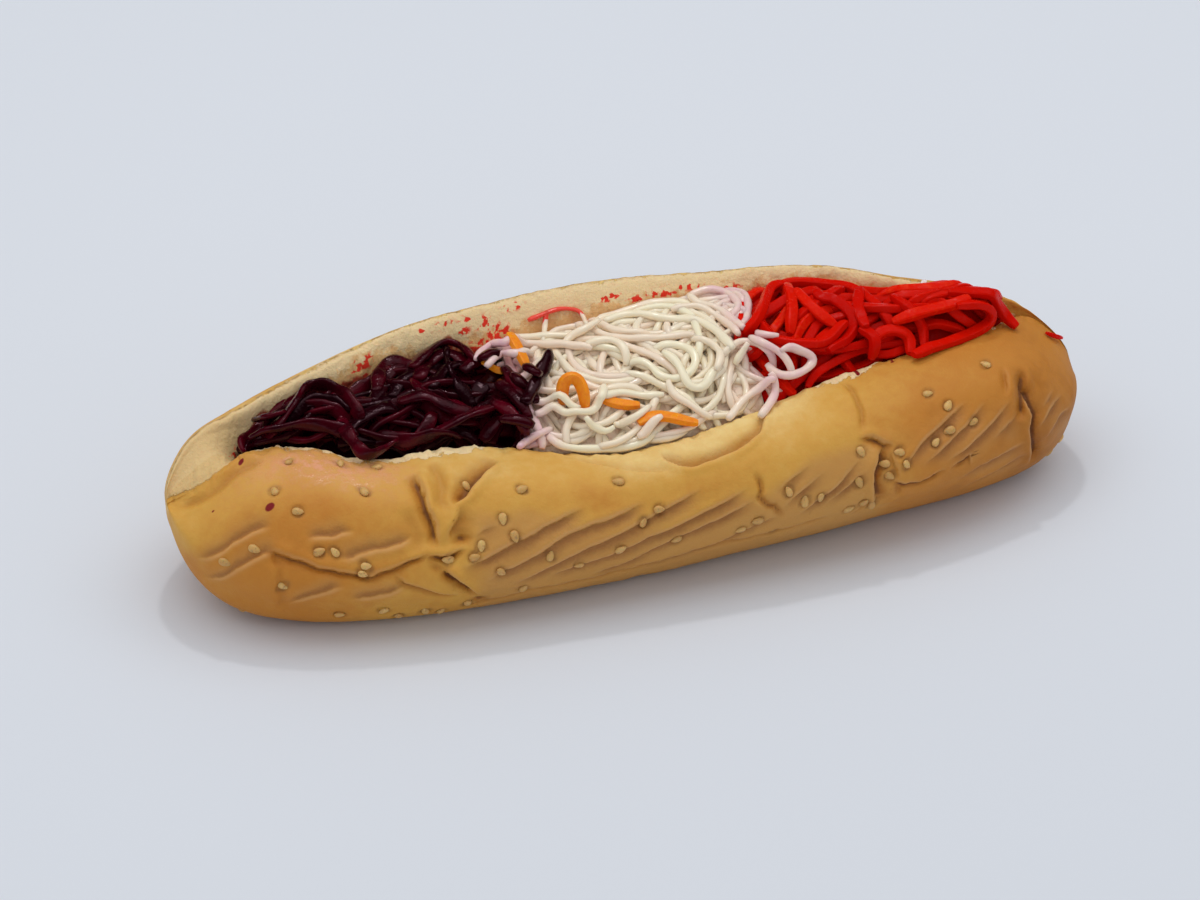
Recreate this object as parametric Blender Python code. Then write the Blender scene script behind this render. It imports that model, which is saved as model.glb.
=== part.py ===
"""A long sesame roll, split along its top and filled with three heaps of shredded vegetables.

The roll is one loft, with its creases, its ribs and its sesame seeds. Each heap is a core that
fills the slit, with shreds laid on it one by one, each on top of what already lies there.

X runs along the roll, Y across it and Z up from its flat underside. Sizes are in millimetres,
and become metres when a mesh is made.
"""
import math
import random

import bmesh
import bpy
import numpy as np
from mathutils import Matrix, Vector

MM = 0.001
GAP = 0.45                   # clearance between touching solids

# The roll
LENGTH = 228.0
HALF = LENGTH / 2
NEAR_TIP = HALF * 0.9995     # where the last stations lie
BELLY = 38.0                 # half the width at the belly
MID_Z = 22.0                 # height of the axis that the ends close to
TIP_FROM = -98.0             # left of here the axis rises,
TIP_LIFT = 2.6               # by this much at the tip
FLOOR_Z = 13.0               # bottom of the slit
STATIONS = 58
END_SHARE = 0.6              # how much closer the stations lie towards the ends
# Points taken on each of the 16 spans round a section, most where the ribs and creases lie.
SPAN_CUTS = (5, 6, 5, 3, 2, 2, 2, 2, 3, 2, 2, 2, 1, 2, 1, 2)
BACK_RIM_SPAN = 10

# The two torn rims of the slit: (x, y) and (x, z), front and back.
FRONT_RIM_Y = ((-114, 0), (-107, -4), (-95, 0), (-82, -1), (-68, -9), (-48, -10), (-30, -14),
               (-8, -19.5), (12, -18.5), (30, -15), (46, -10.5), (62, -7), (80, -4), (95, 1.5),
               (105, 7), (114, 4))
FRONT_RIM_Z = ((-114, 24), (-107, 30), (-95, 35.5), (-82, 35.5), (-68, 34), (-44, 34), (-12, 31),
               (8, 32), (44, 35.5), (78, 37), (95, 37), (105, 37), (114, 34))
BACK_RIM_Y = ((-114, 8), (-107, 14), (-95, 16.5), (-78, 20), (-50, 27.3), (-28, 30), (26, 31),
              (46, 30), (61, 26.5), (76, 20), (90, 15), (103, 12), (114, 5))
BACK_RIM_Z = ((-114, 34), (-107, 37.3), (-95, 38.2), (-78, 40.7), (-50, 45.2), (-28, 46.4),
              (10, 46.7), (26, 45.4), (61, 43.9), (76, 42), (90, 41), (103, 39.5), (114, 35))
# How far the near side's foot is tucked under, from 0 to 1 along X.
NEAR_TUCK = ((-114, 0), (-50, 0), (0, 0.35), (40, 0.8), (70, 1), (92, 0.75), (108, 0.45), (114, 0.3))

# Ribs run down the sides, slanting. RIB_RISE says how far they climb along the roll.
RIB_PITCH = 5.4
RIB_DEPTH = 0.75
RIB_RISE = ((-114, 8.5), (-95, 0), (-86, -0.7), (-60, 9), (0, 37.6), (60, 70.6), (114, 107))
RIB_TOP = ((-114, 14), (-60, 24), (-40, 24), (-10, 15), (40, 15), (60, 17), (114, 17))
RIB_END = 46.0

# Creases of the crust: points (x, distance down from the rim), depth and half width.
CREASES = (
    (((-38, 4), (-43, 11.5), (-50, 18.5), (-53, 27)), 2.6, 2.2),
    (((-53, 4), (-54, 13), (-57, 22), (-57, 30)), 1.8, 2.2),
    (((-94, 29), (-89, 34.5), (-80, 37), (-72, 35.5), (-65, 30.6), (-58, 29)), 1.5, 1.9),
    (((-56, 34), (-53, 39), (-47, 47)), 1.9, 1.9),
    (((-20, 1), (-15, 5), (-3, 8.5), (10, 10.2), (21, 9.2), (32, 4.2)), 1.3, 2.4),
    (((49, 3.5), (50, 8), (48, 15), (51, 21.5), (55, 25), (51, 31), (50, 36)), 1.7, 2.0),
    (((55, 33.8), (64, 36), (76, 34.8)), 1.3, 1.9),
    (((93, 21), (95.5, 26.5), (95, 32), (96, 40)), 2.3, 2.0),
    (((19, 15.5), (21, 20), (26, 29.5)), 1.2, 1.8),
    (((-91, 4), (-102, 2), (-112, 1)), 1.6, 2.4),
)

# Sesame seeds
SEED_LENGTH = 3.1
SEED_WIDTH = 2.0
SEED_THICKNESS = 1.4
SEED_TAPER = 0.3             # narrowing towards the tip
SEED_LIFT = 0.1              # how far a seed's middle lies over the crust
SEED_TRIES = 60              # places tried for the seeds of one group
SEED_SPACING = 3.4           # no two lie closer than this
# Where they gather on the side: (x, distance down from the rim, how many, how far they scatter).
SEED_GROUPS = ((-89, 17, 2, 3), (-79, 32, 4, 7), (-72, 13, 1, 5), (-45, 30, 4, 6),
               (-37, 20, 2, 6), (-25, 33, 2, 8), (-8, 21, 3, 8), (10, 31, 2, 8),
               (28, 28, 3, 7), (52, 29, 4, 7), (46, 39, 1, 4), (72, 21, 3, 7), (85, 12, 1, 2))
BACK_SEED_SHARE = 0.4        # the far side has fewer
SEED_SETTING = 7

# The filling: how far its surface lies below the back rim, and how high it is heaped.
FILL_DROP = ((-104, 9), (-90, 7), (-77, 4.2), (-66, 4), (-55, 6), (-31, 8), (-15, 8.5),
             (8, 6.8), (24, 4.8), (52, 4), (70, 3.8), (86, 2), (104, 3))
FILL_HEAP = ((-104, 2), (-80, 4), (-40, 4), (0, 4.5), (45, 5.4), (70, 6.8), (86, 9), (96, 5),
             (104, 1))
FRONT_DROP = 1.2             # the filling starts this far below the front rim
HEAP_OVER = 2.4              # a shred's middle lies at most this far above that surface
TURN_BACK = 0.2              # turn for each millimetre where a shred meets a wall
LOOK_AHEAD = 4.0             # it looks this far ahead for one
KEEP_OFF = 2.6               # and keeps its middle this far off the front rim
THIN_SHRED = 1.6             # half width of a shred, as it feels for room
SHARE_OF_LENGTH = 0.6        # a way shorter than this share of a shred's length is dropped
BRIDGE_PASSES = 14           # how stiffly a shred bridges the dips
TRIES = 80                   # ways tried for each shred before the rest are left out
END_DROP = 6.0               # a heap's core sinks this far at the ends of the slit
CORE_UNDER_CUTS = 7
CORE_TOP_CUTS = 5

# Field of heights that the shreds are laid on
CELL = 0.5
FIELD_X = 118.0
FIELD_Y = 44.0
FIELD_EDGE = 8               # cells kept clear all round it


def smooth_curve(knots, x):
    """Smooth curve through (x, value) knots, level past both ends."""
    table = np.array(knots, float)
    xs, ys = table[:, 0], table[:, 1]
    slope = np.gradient(ys, xs)
    x = np.clip(np.asarray(x, float), xs[0], xs[-1])
    i = np.clip(np.searchsorted(xs, x) - 1, 0, len(xs) - 2)
    h = xs[i + 1] - xs[i]
    t = (x - xs[i]) / h
    rise = t * t * (3 - 2 * t)
    return (ys[i] + (ys[i + 1] - ys[i]) * rise
            + h * (t * (1 - t) ** 2 * slope[i] - t * t * (1 - t) * slope[i + 1]))


def ease(t):
    """Soft step from 0 to 1."""
    t = np.clip(t, 0, 1)
    return t * t * (3 - 2 * t)


def rounding(x, sharpness, bluntness):
    """How full the roll is at x, from 1 in the middle to 0 at its very ends."""
    return np.clip(1 - abs(x / HALF) ** sharpness, 0, 1) ** (1 / bluntness)


def section(x):
    """The 16 guide points round the roll at x, from the front rim down, round and back up."""
    front = BELLY * (rounding(x, 3.6, 2.3) if x < 0 else rounding(x, 2.7, 2.2))
    back = BELLY * rounding(x, 2.9, 2.2)
    close = rounding(x, 9.0, 2.4)
    tuck = smooth_curve(NEAR_TUCK, x)
    middle = MID_Z + TIP_LIFT * ease((TIP_FROM - x) / (HALF + TIP_FROM))

    def level(z):
        return middle + (z - middle) * close

    front_y = smooth_curve(FRONT_RIM_Y, x) * close
    front_z = level(smooth_curve(FRONT_RIM_Z, x))
    back_y = smooth_curve(BACK_RIM_Y, x) * close
    back_z = level(smooth_curve(BACK_RIM_Z, x))
    opened = ease((x + 104) / 24) * ease((109 - x) / 24)
    shut_z = (front_z + back_z) / 2 - 0.8 * close
    floor_y = (front_y + back_y) / 2 + close
    floor_z = shut_z + (FLOOR_Z - shut_z) * opened
    return np.array((
        (front_y, front_z),
        (front_y - (front + front_y) * 0.62, level(front_z - (front_z - 20) * 0.14)),
        (-(1 - 0.03 * tuck) * front, level(19.0 + 3 * tuck)),
        (-(0.93 - 0.11 * tuck) * front, level(8.5 + tuck)),
        (-(0.70 - 0.20 * tuck) * front, level(0.0)),
        (0.0, level(-0.6)),
        (0.70 * back, level(0.0)),
        (0.93 * back, level(9.0)),
        (back, level(22.0)),
        (back_y + (back - back_y) * 0.72, back_z - (back_z - 22) * 0.32),
        (back_y, back_z),
        (back_y + (floor_y - back_y) * 0.34, back_z - (back_z - floor_z) * 0.36),
        (back_y + (floor_y - back_y) * 0.68, back_z - (back_z - floor_z) * 0.80),
        (floor_y, floor_z),
        (front_y + (floor_y - front_y) * 0.60, front_z - (front_z - floor_z) * 0.80),
        (front_y + (floor_y - front_y) * 0.28, front_z - (front_z - floor_z) * 0.34)))


def outline(x):
    """The smooth closed outline through the guide points at x."""
    guide = section(x)
    count = len(guide)
    points = []
    for k, cuts in enumerate(SPAN_CUTS):
        a, b, c, d = guide[k - 1], guide[k], guide[(k + 1) % count], guide[(k + 2) % count]
        for t in np.arange(cuts) / cuts:
            points.append(0.5 * (2 * b + (c - a) * t + (2 * a - 5 * b + 4 * c - d) * t ** 2
                                 + (3 * b - a - 3 * c + d) * t ** 3))
    return np.array(points)


def distance_to_line(x, s, line):
    """Distance from each (x, s) to a line of points."""
    best = np.full(np.shape(x), 1e9)
    for (x0, s0), (x1, s1) in zip(line, line[1:]):
        dx, ds = x1 - x0, s1 - s0
        t = np.clip(((x - x0) * dx + (s - s0) * ds) / (dx * dx + ds * ds), 0, 1)
        best = np.minimum(best, np.hypot(x - x0 - t * dx, s - s0 - t * ds))
    return best


def relief(x, s):
    """Height of the ribs and creases, s millimetres down the side from the rim."""
    phase = (s + smooth_curve(RIB_RISE, x)) / RIB_PITCH * 2 * math.pi
    top = smooth_curve(RIB_TOP, x)
    ribbed = ease((s - top) / 6) * ease((RIB_END - s) / 8)
    height = RIB_DEPTH * ribbed * (0.5 * np.cos(phase) - 0.5)
    for line, depth, width in CREASES:
        height -= depth * np.exp(-(distance_to_line(x, s, line) / width) ** 2)
    return height * ease((HALF - 1 - abs(x)) / 6)


def roll_grid():
    """Points of the roll's surface: one flat ring for each station along X."""
    turn = np.linspace(-math.pi / 2, math.pi / 2, STATIONS + 1)
    rings = []
    for x in NEAR_TIP * (END_SHARE * np.sin(turn) + (1 - END_SHARE) * turn * 2 / math.pi):
        ring = outline(x)
        along = np.roll(ring, -1, 0) - np.roll(ring, 1, 0)
        out = np.column_stack((-along[:, 1], along[:, 0]))
        out /= -np.linalg.norm(out, axis=1, keepdims=True)
        steps = np.linalg.norm(np.diff(ring, axis=0), axis=1)
        down_front = np.concatenate(((0,), np.cumsum(steps)))
        back_rim = sum(SPAN_CUTS[:BACK_RIM_SPAN])
        down_back = down_front[back_rim] - down_front
        crust = np.arange(len(ring)) < back_rim
        down = np.where(crust, np.minimum(down_front, abs(down_back)), 0)
        side = np.where(down_front <= abs(down_back), x, -x)
        ring = ring + out * (relief(side, down) * crust)[:, None]
        ring[:, 1] = np.maximum(ring[:, 1], 0)
        rings.append(np.column_stack((np.full(len(ring), x), ring)))
    return np.array(rings)


def add_object(name, vertices, faces, collection):
    """A mesh object from points in millimetres, in triangles so that no face is bent."""
    mesh = bpy.data.meshes.new(name)
    mesh.from_pydata([tuple(v) for v in np.asarray(vertices) * MM], [], faces)
    bm = bmesh.new()
    bm.from_mesh(mesh)
    bmesh.ops.triangulate(bm, faces=bm.faces)
    bm.to_mesh(mesh)
    bm.free()
    mesh.shade_smooth()
    mesh.set_sharp_from_angle(angle=math.radians(50))
    thing = bpy.data.objects.new(name, mesh)
    collection.objects.link(thing)
    return thing


def loft(rings):
    """Vertices and faces of a closed skin over rings with like numbers of points."""
    rows, count, _ = rings.shape
    vertices = np.concatenate((rings.reshape(-1, 3), rings[0].mean(0)[None], rings[-1].mean(0)[None]))
    first, last = rows * count, rows * count + 1
    faces = []
    for i in range(rows - 1):
        for j in range(count):
            k = (j + 1) % count
            faces.append((i * count + k, (i + 1) * count + k, (i + 1) * count + j, i * count + j))
    base = (rows - 1) * count
    for j in range(count):
        k = (j + 1) % count
        faces.append((first, k, j))
        faces.append((last, base + j, base + k))
    return vertices, faces


def fuse(body, extras):
    """Join every object of a collection to the body, and keep the one solid that comes out."""
    join = body.modifiers.new("join", "BOOLEAN")
    join.operation = "UNION"
    join.operand_type = "COLLECTION"
    join.collection = extras
    join.solver = "EXACT"
    fused = bpy.data.meshes.new_from_object(body.evaluated_get(bpy.context.evaluated_depsgraph_get()))
    body.modifiers.remove(join)
    body.data = fused
    for extra in list(extras.objects):
        bpy.data.objects.remove(extra)
    keep_main_solid(fused)
    fused.shade_smooth()
    fused.set_sharp_from_angle(angle=math.radians(50))


def keep_main_solid(mesh):
    """Drop loose scraps and the skins of sealed hollows, which fills the hollows."""
    bm = bmesh.new()
    bm.from_mesh(mesh)
    bmesh.ops.triangulate(bm, faces=bm.faces)
    islands = []
    unseen = set(bm.faces)
    while unseen:
        stack = [unseen.pop()]
        island = list(stack)
        while stack:
            for edge in stack.pop().edges:
                for face in edge.link_faces:
                    if face in unseen:
                        unseen.remove(face)
                        island.append(face)
                        stack.append(face)
        islands.append(island)
    islands.sort(key=len)
    for island in islands[:-1]:
        bmesh.ops.delete(bm, geom=island, context="FACES")
    bm.to_mesh(mesh)
    bm.free()


# ---------------------------------------------------------------- sesame seeds

def crust_place(grid, x, down, side):
    """Point and frame on the crust, a distance down from its front or back rim."""
    def ring_at(where):
        xs = grid[:, 0, 0]
        i = int(np.clip(np.searchsorted(xs, where) - 1, 0, len(xs) - 2))
        t = (where - xs[i]) / (xs[i + 1] - xs[i])
        ring = grid[i] + (grid[i + 1] - grid[i]) * t
        back_rim = sum(SPAN_CUTS[:BACK_RIM_SPAN])
        ring = ring[:back_rim + 1] if side > 0 else ring[back_rim::-1]
        length = np.concatenate(((0,), np.cumsum(np.linalg.norm(np.diff(ring, axis=0), axis=1))))
        return ring, length

    def point_at(where, far):
        ring, length = ring_at(where)
        return np.array([np.interp(far, length, ring[:, axis]) for axis in range(3)])

    point = point_at(x, down)
    along = point_at(x + 1, down) - point_at(x - 1, down)
    across = point_at(x, down + 1) - point_at(x, down - 1)
    out = np.cross(across, along) * side
    return point, along / np.linalg.norm(along), out / np.linalg.norm(out)


def seed_spots(share, rng):
    """Seeded random places (x, distance down from the rim) gathered in the named groups."""
    spots = []
    for group_x, group_down, number, scatter in SEED_GROUPS:
        wanted = round(number * share)
        tries = 0
        while wanted and tries < SEED_TRIES:
            tries += 1
            spot = (group_x + rng.uniform(-scatter, scatter),
                    group_down + rng.uniform(-scatter, scatter) * 0.7)
            if all(math.dist(spot, other) > SEED_SPACING for other in spots):
                spots.append(spot)
                wanted -= 1
    return spots


def add_seeds(grid, collection):
    """Sesame seeds half sunk into the crust, pointing all ways."""
    rng = random.Random(SEED_SETTING)
    for side, share in ((1, 1.0), (-1, BACK_SEED_SHARE)):
        for x, down in seed_spots(share, rng):
            point, along, out = crust_place(grid, x * side, down, side)
            turn = Matrix.Rotation(rng.uniform(0, math.tau), 3, Vector(out))
            long_way = turn @ Vector(along)
            wide_way = Vector(out).cross(long_way)
            bm = bmesh.new()
            bmesh.ops.create_icosphere(bm, subdivisions=1, radius=1)
            for vertex in bm.verts:
                taper = 1 - SEED_TAPER * vertex.co.x
                place = (Vector(point) + Vector(out) * (SEED_LIFT + vertex.co.z * SEED_THICKNESS / 2)
                         + long_way * (vertex.co.x * SEED_LENGTH / 2)
                         + wide_way * (vertex.co.y * taper * SEED_WIDTH / 2))
                vertex.co = place * MM
            mesh = bpy.data.meshes.new("seed")
            bm.to_mesh(mesh)
            bm.free()
            collection.objects.link(bpy.data.objects.new("seed", mesh))


# ---------------------------------------------------------------- the heaps' cores

def slit_ring(grid, x):
    """The slit's wall at x, from the back rim down and up to the front rim."""
    xs = grid[:, 0, 0]
    i = int(np.clip(np.searchsorted(xs, x) - 1, 0, len(xs) - 2))
    t = (x - xs[i]) / (xs[i + 1] - xs[i])
    ring = grid[i] + (grid[i + 1] - grid[i]) * t
    back_rim = sum(SPAN_CUTS[:BACK_RIM_SPAN])
    return np.concatenate((ring[back_rim:], ring[:1]))[:, 1:]


def fill_height(x, y):
    """Height of the filling's surface at (x, y)."""
    front_y = smooth_curve(FRONT_RIM_Y, x) + 1.5
    front_z = smooth_curve(FRONT_RIM_Z, x) - FRONT_DROP
    back_y = smooth_curve(BACK_RIM_Y, x) - 4
    back_z = smooth_curve(BACK_RIM_Z, x) - smooth_curve(FILL_DROP, x)
    t = np.clip((y - front_y) / (back_y - front_y), 0, 1)
    return front_z + (back_z - front_z) * t + smooth_curve(FILL_HEAP, x) * 4 * t * (1 - t)


def core_ring(grid, x, layer):
    """Outline of a heap's core at x: along the slit's wall, then over the top."""
    layer = layer + END_DROP * ease((abs(x) - 80) / 15)
    wall = slit_ring(grid, x)
    along = np.gradient(wall, axis=0)
    inward = np.column_stack((along[:, 1], -along[:, 0]))
    inward /= np.linalg.norm(inward, axis=1, keepdims=True)
    middle = wall.mean(0)
    inward *= np.sign(((middle - wall) * inward).sum(1, keepdims=True))
    dense = np.linspace(0, len(wall) - 1, 241)
    steps = np.arange(len(wall))
    under = np.column_stack([np.interp(dense, steps, (wall + inward * GAP)[:, k]) for k in (0, 1)])
    under = under[under[:, 1] < fill_height(x, under[:, 0]) - layer]
    length = np.concatenate(((0,), np.cumsum(np.linalg.norm(np.diff(under, axis=0), axis=1))))
    cuts = np.linspace(0, length[-1], CORE_UNDER_CUTS)
    lower = np.column_stack([np.interp(cuts, length, under[:, k]) for k in (0, 1)])
    across = np.linspace(lower[-1, 0], lower[0, 0], CORE_TOP_CUTS + 2)[1:-1]
    upper = np.column_stack((across, fill_height(x, across) - layer))
    ring = np.concatenate((lower, upper))[::-1]
    return np.column_stack((np.full(len(ring), x), ring))


def core_rings(grid, x_from, x_to, layer):
    """Rings of a heap's core at the roll's own stations and at both its ends."""
    stations = grid[:, 0, 0]
    inner = stations[(stations > x_from + 1) & (stations < x_to - 1)]
    places = np.concatenate(((x_from,), inner, (x_to,)))
    return np.array([core_ring(grid, x, layer) for x in places])


# ---------------------------------------------------------------- laying the shreds

def empty_field():
    """A field of heights with nothing on it yet."""
    return np.full((round(2 * FIELD_X / CELL) + 1, round(2 * FIELD_Y / CELL) + 1), -50.0)


def drop_on_field(field, points):
    """Raise the field to a cloud of surface points."""
    i = np.rint((points[:, 0] + FIELD_X) / CELL).astype(int)
    j = np.rint((points[:, 1] + FIELD_Y) / CELL).astype(int)
    inside = (i >= 0) & (i < field.shape[0]) & (j >= 0) & (j < field.shape[1])
    np.maximum.at(field, (i[inside], j[inside]), points[inside, 2])


def field_of(rings):
    """Field of heights over a skin of rings."""
    field = empty_field()
    closed = np.concatenate((rings, rings[:, :1]), 1)
    fine = np.linspace(0, closed.shape[1] - 1, closed.shape[1] * 12)
    low = np.minimum(fine.astype(int), closed.shape[1] - 2)
    dense = closed[:, low] + (closed[:, low + 1] - closed[:, low]) * (fine - low)[None, :, None]
    xs = rings[:, 0, 0]
    for x in np.arange(xs[0], xs[-1], CELL / 2):
        i = int(np.clip(np.searchsorted(xs, x) - 1, 0, len(xs) - 2))
        t = (x - xs[i]) / (xs[i + 1] - xs[i])
        drop_on_field(field, dense[i] + (dense[i + 1] - dense[i]) * t)
    return field


def ball(radius):
    """Cells that a ball covers on the field, and how far it rises over each."""
    reach = int(radius / CELL) + 1
    i, j = np.mgrid[-reach:reach + 1, -reach:reach + 1]
    square = radius ** 2 - (i ** 2 + j ** 2) * CELL ** 2
    inside = square > 0
    return i[inside], j[inside], np.sqrt(square[inside])


def resting_height(field, places, radius):
    """Height of a ball's centre where it rests on the field at each place."""
    di, dj, lift = ball(radius)
    i = np.rint((places[:, 0] + FIELD_X) / CELL).astype(int)
    j = np.rint((places[:, 1] + FIELD_Y) / CELL).astype(int)
    i = np.clip(i, FIELD_EDGE, field.shape[0] - FIELD_EDGE - 1)
    j = np.clip(j, FIELD_EDGE, field.shape[1] - FIELD_EDGE - 1)
    return (field[i[:, None] + di, j[:, None] + dj] + lift).max(1)


def wander(rng, start, zone, blocked, length, curl, spread):
    """A winding way over the filling that keeps off its walls and never meets itself."""
    x_from, x_to = zone

    def free(x, y):
        """Whether a shred can lie at (x, y) without standing too high."""
        front, back = smooth_curve(FRONT_RIM_Y, x) + KEEP_OFF, smooth_curve(BACK_RIM_Y, x) - 1
        if not (x_from < x < x_to and front < y < back):
            return False
        rest = resting_height(blocked, np.array(((x, y),)), THIN_SHRED)[0]
        return rest < fill_height(x, y) + HEAP_OVER

    x = min(x_to, max(x_from, start + rng.uniform(-4, 4)))
    y = rng.uniform(smooth_curve(FRONT_RIM_Y, x), smooth_curve(BACK_RIM_Y, x))
    if not free(x, y):
        return None
    heading = rng.gauss(0, spread) + (math.pi if x > (x_from + x_to) / 2 else 0)
    bend = rng.uniform(-curl, curl)
    way = [(x, y)]
    while len(way) < length:
        bend += rng.gauss(0, curl * 0.25)
        bend = max(-curl, min(curl, bend))
        if not free(x + LOOK_AHEAD * math.cos(heading), y + LOOK_AHEAD * math.sin(heading)):
            aside = heading + 0.8
            left = free(x + LOOK_AHEAD * math.cos(aside), y + LOOK_AHEAD * math.sin(aside))
            bend = TURN_BACK if left or bend > 0 else -TURN_BACK
        heading += bend
        x += math.cos(heading)
        y += math.sin(heading)
        if not free(x, y):
            break
        way.append((x, y))
    way = np.array(way)
    apart = np.linalg.norm(way[:, None] - way[None], axis=2)
    steps = abs(np.subtract.outer(np.arange(len(way)), np.arange(len(way))))
    crossing = bool(((apart < 4.2) & (steps > 8)).any())
    return None if crossing or len(way) < length * SHARE_OF_LENGTH else way


def lay(way, radius, hard, soft, sink):
    """Heights along a way for a shred that bridges the dips and bears on the high spots."""
    rest = np.maximum(resting_height(hard, way, radius) + GAP, resting_height(soft, way, radius) - sink)
    height = rest.copy()
    for _ in range(BRIDGE_PASSES):
        padded = np.pad(height, 1, mode="edge")
        height = np.maximum(rest, (padded[:-2] + padded[2:]) / 2)
    return height


def strand(name, points, profile, twist, collection):
    """A shred as a curve with the profile as its section, made a closed mesh."""
    curve = bpy.data.curves.new(name, "CURVE")
    curve.dimensions = "3D"
    curve.twist_mode = "Z_UP"
    curve.bevel_mode = "OBJECT"
    curve.bevel_object = profile
    curve.use_fill_caps = True
    spline = curve.splines.new("POLY")
    spline.points.add(len(points) - 1)
    for k, (point, place) in enumerate(zip(spline.points, points)):
        point.co = (*(place * MM), 1)
        point.radius = 0.72 if k in (0, len(points) - 1) else 1.0
        point.tilt = twist * k
    guide = bpy.data.objects.new(name, curve)
    collection.objects.link(guide)
    bpy.context.view_layer.update()
    mesh = bpy.data.meshes.new_from_object(guide.evaluated_get(bpy.context.evaluated_depsgraph_get()))
    bpy.data.objects.remove(guide)
    bm = bmesh.new()
    bm.from_mesh(mesh)
    bmesh.ops.remove_doubles(bm, verts=bm.verts, dist=0.00001)
    bmesh.ops.triangulate(bm, faces=bm.faces)
    bmesh.ops.recalc_face_normals(bm, faces=bm.faces)
    bm.to_mesh(mesh)
    bm.free()
    collection.objects.link(bpy.data.objects.new(name, mesh))


def profile_curve(name, width, thickness, sides, collection):
    """Flat outline of a shred's section."""
    curve = bpy.data.curves.new(name, "CURVE")
    curve.dimensions = "2D"
    spline = curve.splines.new("POLY")
    spline.points.add(sides - 1)
    for k, point in enumerate(spline.points):
        angle = math.tau * (k + 0.5) / sides
        stretch = 1 / math.cos(math.pi / sides) if sides == 4 else 1.0
        point.co = (math.cos(angle) * stretch * width / 2 * MM,
                    math.sin(angle) * stretch * thickness / 2 * MM, 0, 1)
    spline.use_cyclic_u = True
    profile = bpy.data.objects.new(name, curve)
    profile.hide_render = True
    profile.display_type = "WIRE"
    collection.objects.link(profile)
    return profile


def material(name, colour, roughness):
    """A plain finish for one piece."""
    finish = bpy.data.materials.new(name)
    finish.use_nodes = True
    shader = finish.node_tree.nodes["Principled BSDF"]
    shader.inputs["Base Color"].default_value = (*colour, 1)
    shader.inputs["Roughness"].default_value = roughness
    shader.inputs["Metallic"].default_value = 0.0
    return finish


# ---------------------------------------------------------------- the pieces

def make_roll(grid, collection, extras):
    """The roll with its sesame seeds."""
    vertices, faces = loft(grid)
    roll = add_object("roll", vertices, faces, collection)
    add_seeds(grid, extras)
    fuse(roll, extras)
    roll.data.materials.append(material("crust", (0.55, 0.29, 0.09), 0.7))
    return roll


# A kind of shred: width, thickness, sides, length, tightest curl for each millimetre, spread of
# its heading about the roll's length, twist for each point, spacing of its points and number.
BEET = ((3.8, 1.6, 4, 34, 0.09, 0.8, 0.2, 6, 14),)
RADISH = ((2.5, 2.5, 5, 46, 0.12, 1.6, 0.0, 6, 10), (4.0, 1.7, 4, 17, 0.05, 1.0, 0.1, 5, 3),
          (2.5, 2.5, 5, 36, 0.12, 1.6, 0.0, 6, 5))
RED_CARROT = ((2.8, 2.3, 4, 46, 0.06, 0.6, 0.08, 7, 13),)
# A heap: name, ends along X, depth of its layer of shreds, kinds of shred laid in turn, colour,
# roughness and the setting of its random draws.
HEAPS = (
    ("beet_heap", -93.0, -28.6, 2.6, BEET, (0.05, 0.004, 0.015), 0.25, 3),
    ("radish_heap", -27.6, 30.6, 3.2, RADISH, (0.75, 0.70, 0.55), 0.35, 7),
    ("red_carrot_heap", 31.6, 96.0, 3.4, RED_CARROT, (0.65, 0.012, 0.006), 0.35, 8),
)


def make_heap(row, grid, fields, collection, extras, guides):
    """One heap: its core with its shreds fused on."""
    name, x_from, x_to, layer, kinds, colour, roughness, setting = row
    rings = core_rings(grid, x_from, x_to, layer)
    heap = add_object(name, *loft(rings), collection)
    hard = np.maximum.reduce([field for other, field in fields.items() if other != name])
    soft = fields[name]
    rng = random.Random(setting)
    for width, thickness, sides, length, curl, spread, twist, step, number in kinds:
        profile = profile_curve(name + "_section", width, thickness, sides, guides)
        radius = math.hypot(width, thickness) / 2 if sides == 4 else width / 2
        zone = (x_from + 2.5, x_to - 2.5)
        starts = list(np.linspace(*zone, number))
        rng.shuffle(starts)
        tries = TRIES * number
        while starts and tries:
            tries -= 1
            blocked = np.maximum(hard, soft)
            way = wander(rng, starts[-1], zone, blocked, length, curl, spread)
            if way is None:
                continue
            height = lay(way, radius, hard, soft, 0.45 * thickness)
            points = np.column_stack((way, height))
            for side in (-0.5, 0.0, 0.5):
                shift = np.array((side, side, thickness / 2 - abs(side) * 0.4))
                drop_on_field(soft, points + shift)
                drop_on_field(soft, points + shift * (1, -1, 1))
            strand(name + "_shred", points[::step], profile, twist, extras)
            starts.pop()
    fuse(heap, extras)
    heap.data.materials.append(material(name, colour, roughness))
    return heap


def build():
    """The roll and its three heaps, in a collection of their own."""
    for thing in list(bpy.data.objects):
        bpy.data.objects.remove(thing)
    scene = bpy.context.scene.collection
    parts = bpy.data.collections.new("filled_roll")
    extras = bpy.data.collections.new("to_fuse")
    guides = bpy.data.collections.new("guides")
    for collection in (parts, extras, guides):
        scene.children.link(collection)

    grid = roll_grid()
    make_roll(grid, parts, extras)
    fields = {"roll": field_of(grid)}
    for name, x_from, x_to, layer, *_ in HEAPS:
        fields[name] = field_of(core_rings(grid, x_from, x_to, layer))
    for row in HEAPS:
        make_heap(row, grid, fields, parts, extras, guides)
    bpy.data.collections.remove(extras)


build()
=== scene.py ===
"""A long sesame roll, split along its top and filled with shredded beet, radish and red carrot.

X runs along the roll, Y across it to the far side of the slit and Z up from the flat underside.
Sizes are in millimetres and become metres when a mesh is made.
"""
import math
import random

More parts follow.
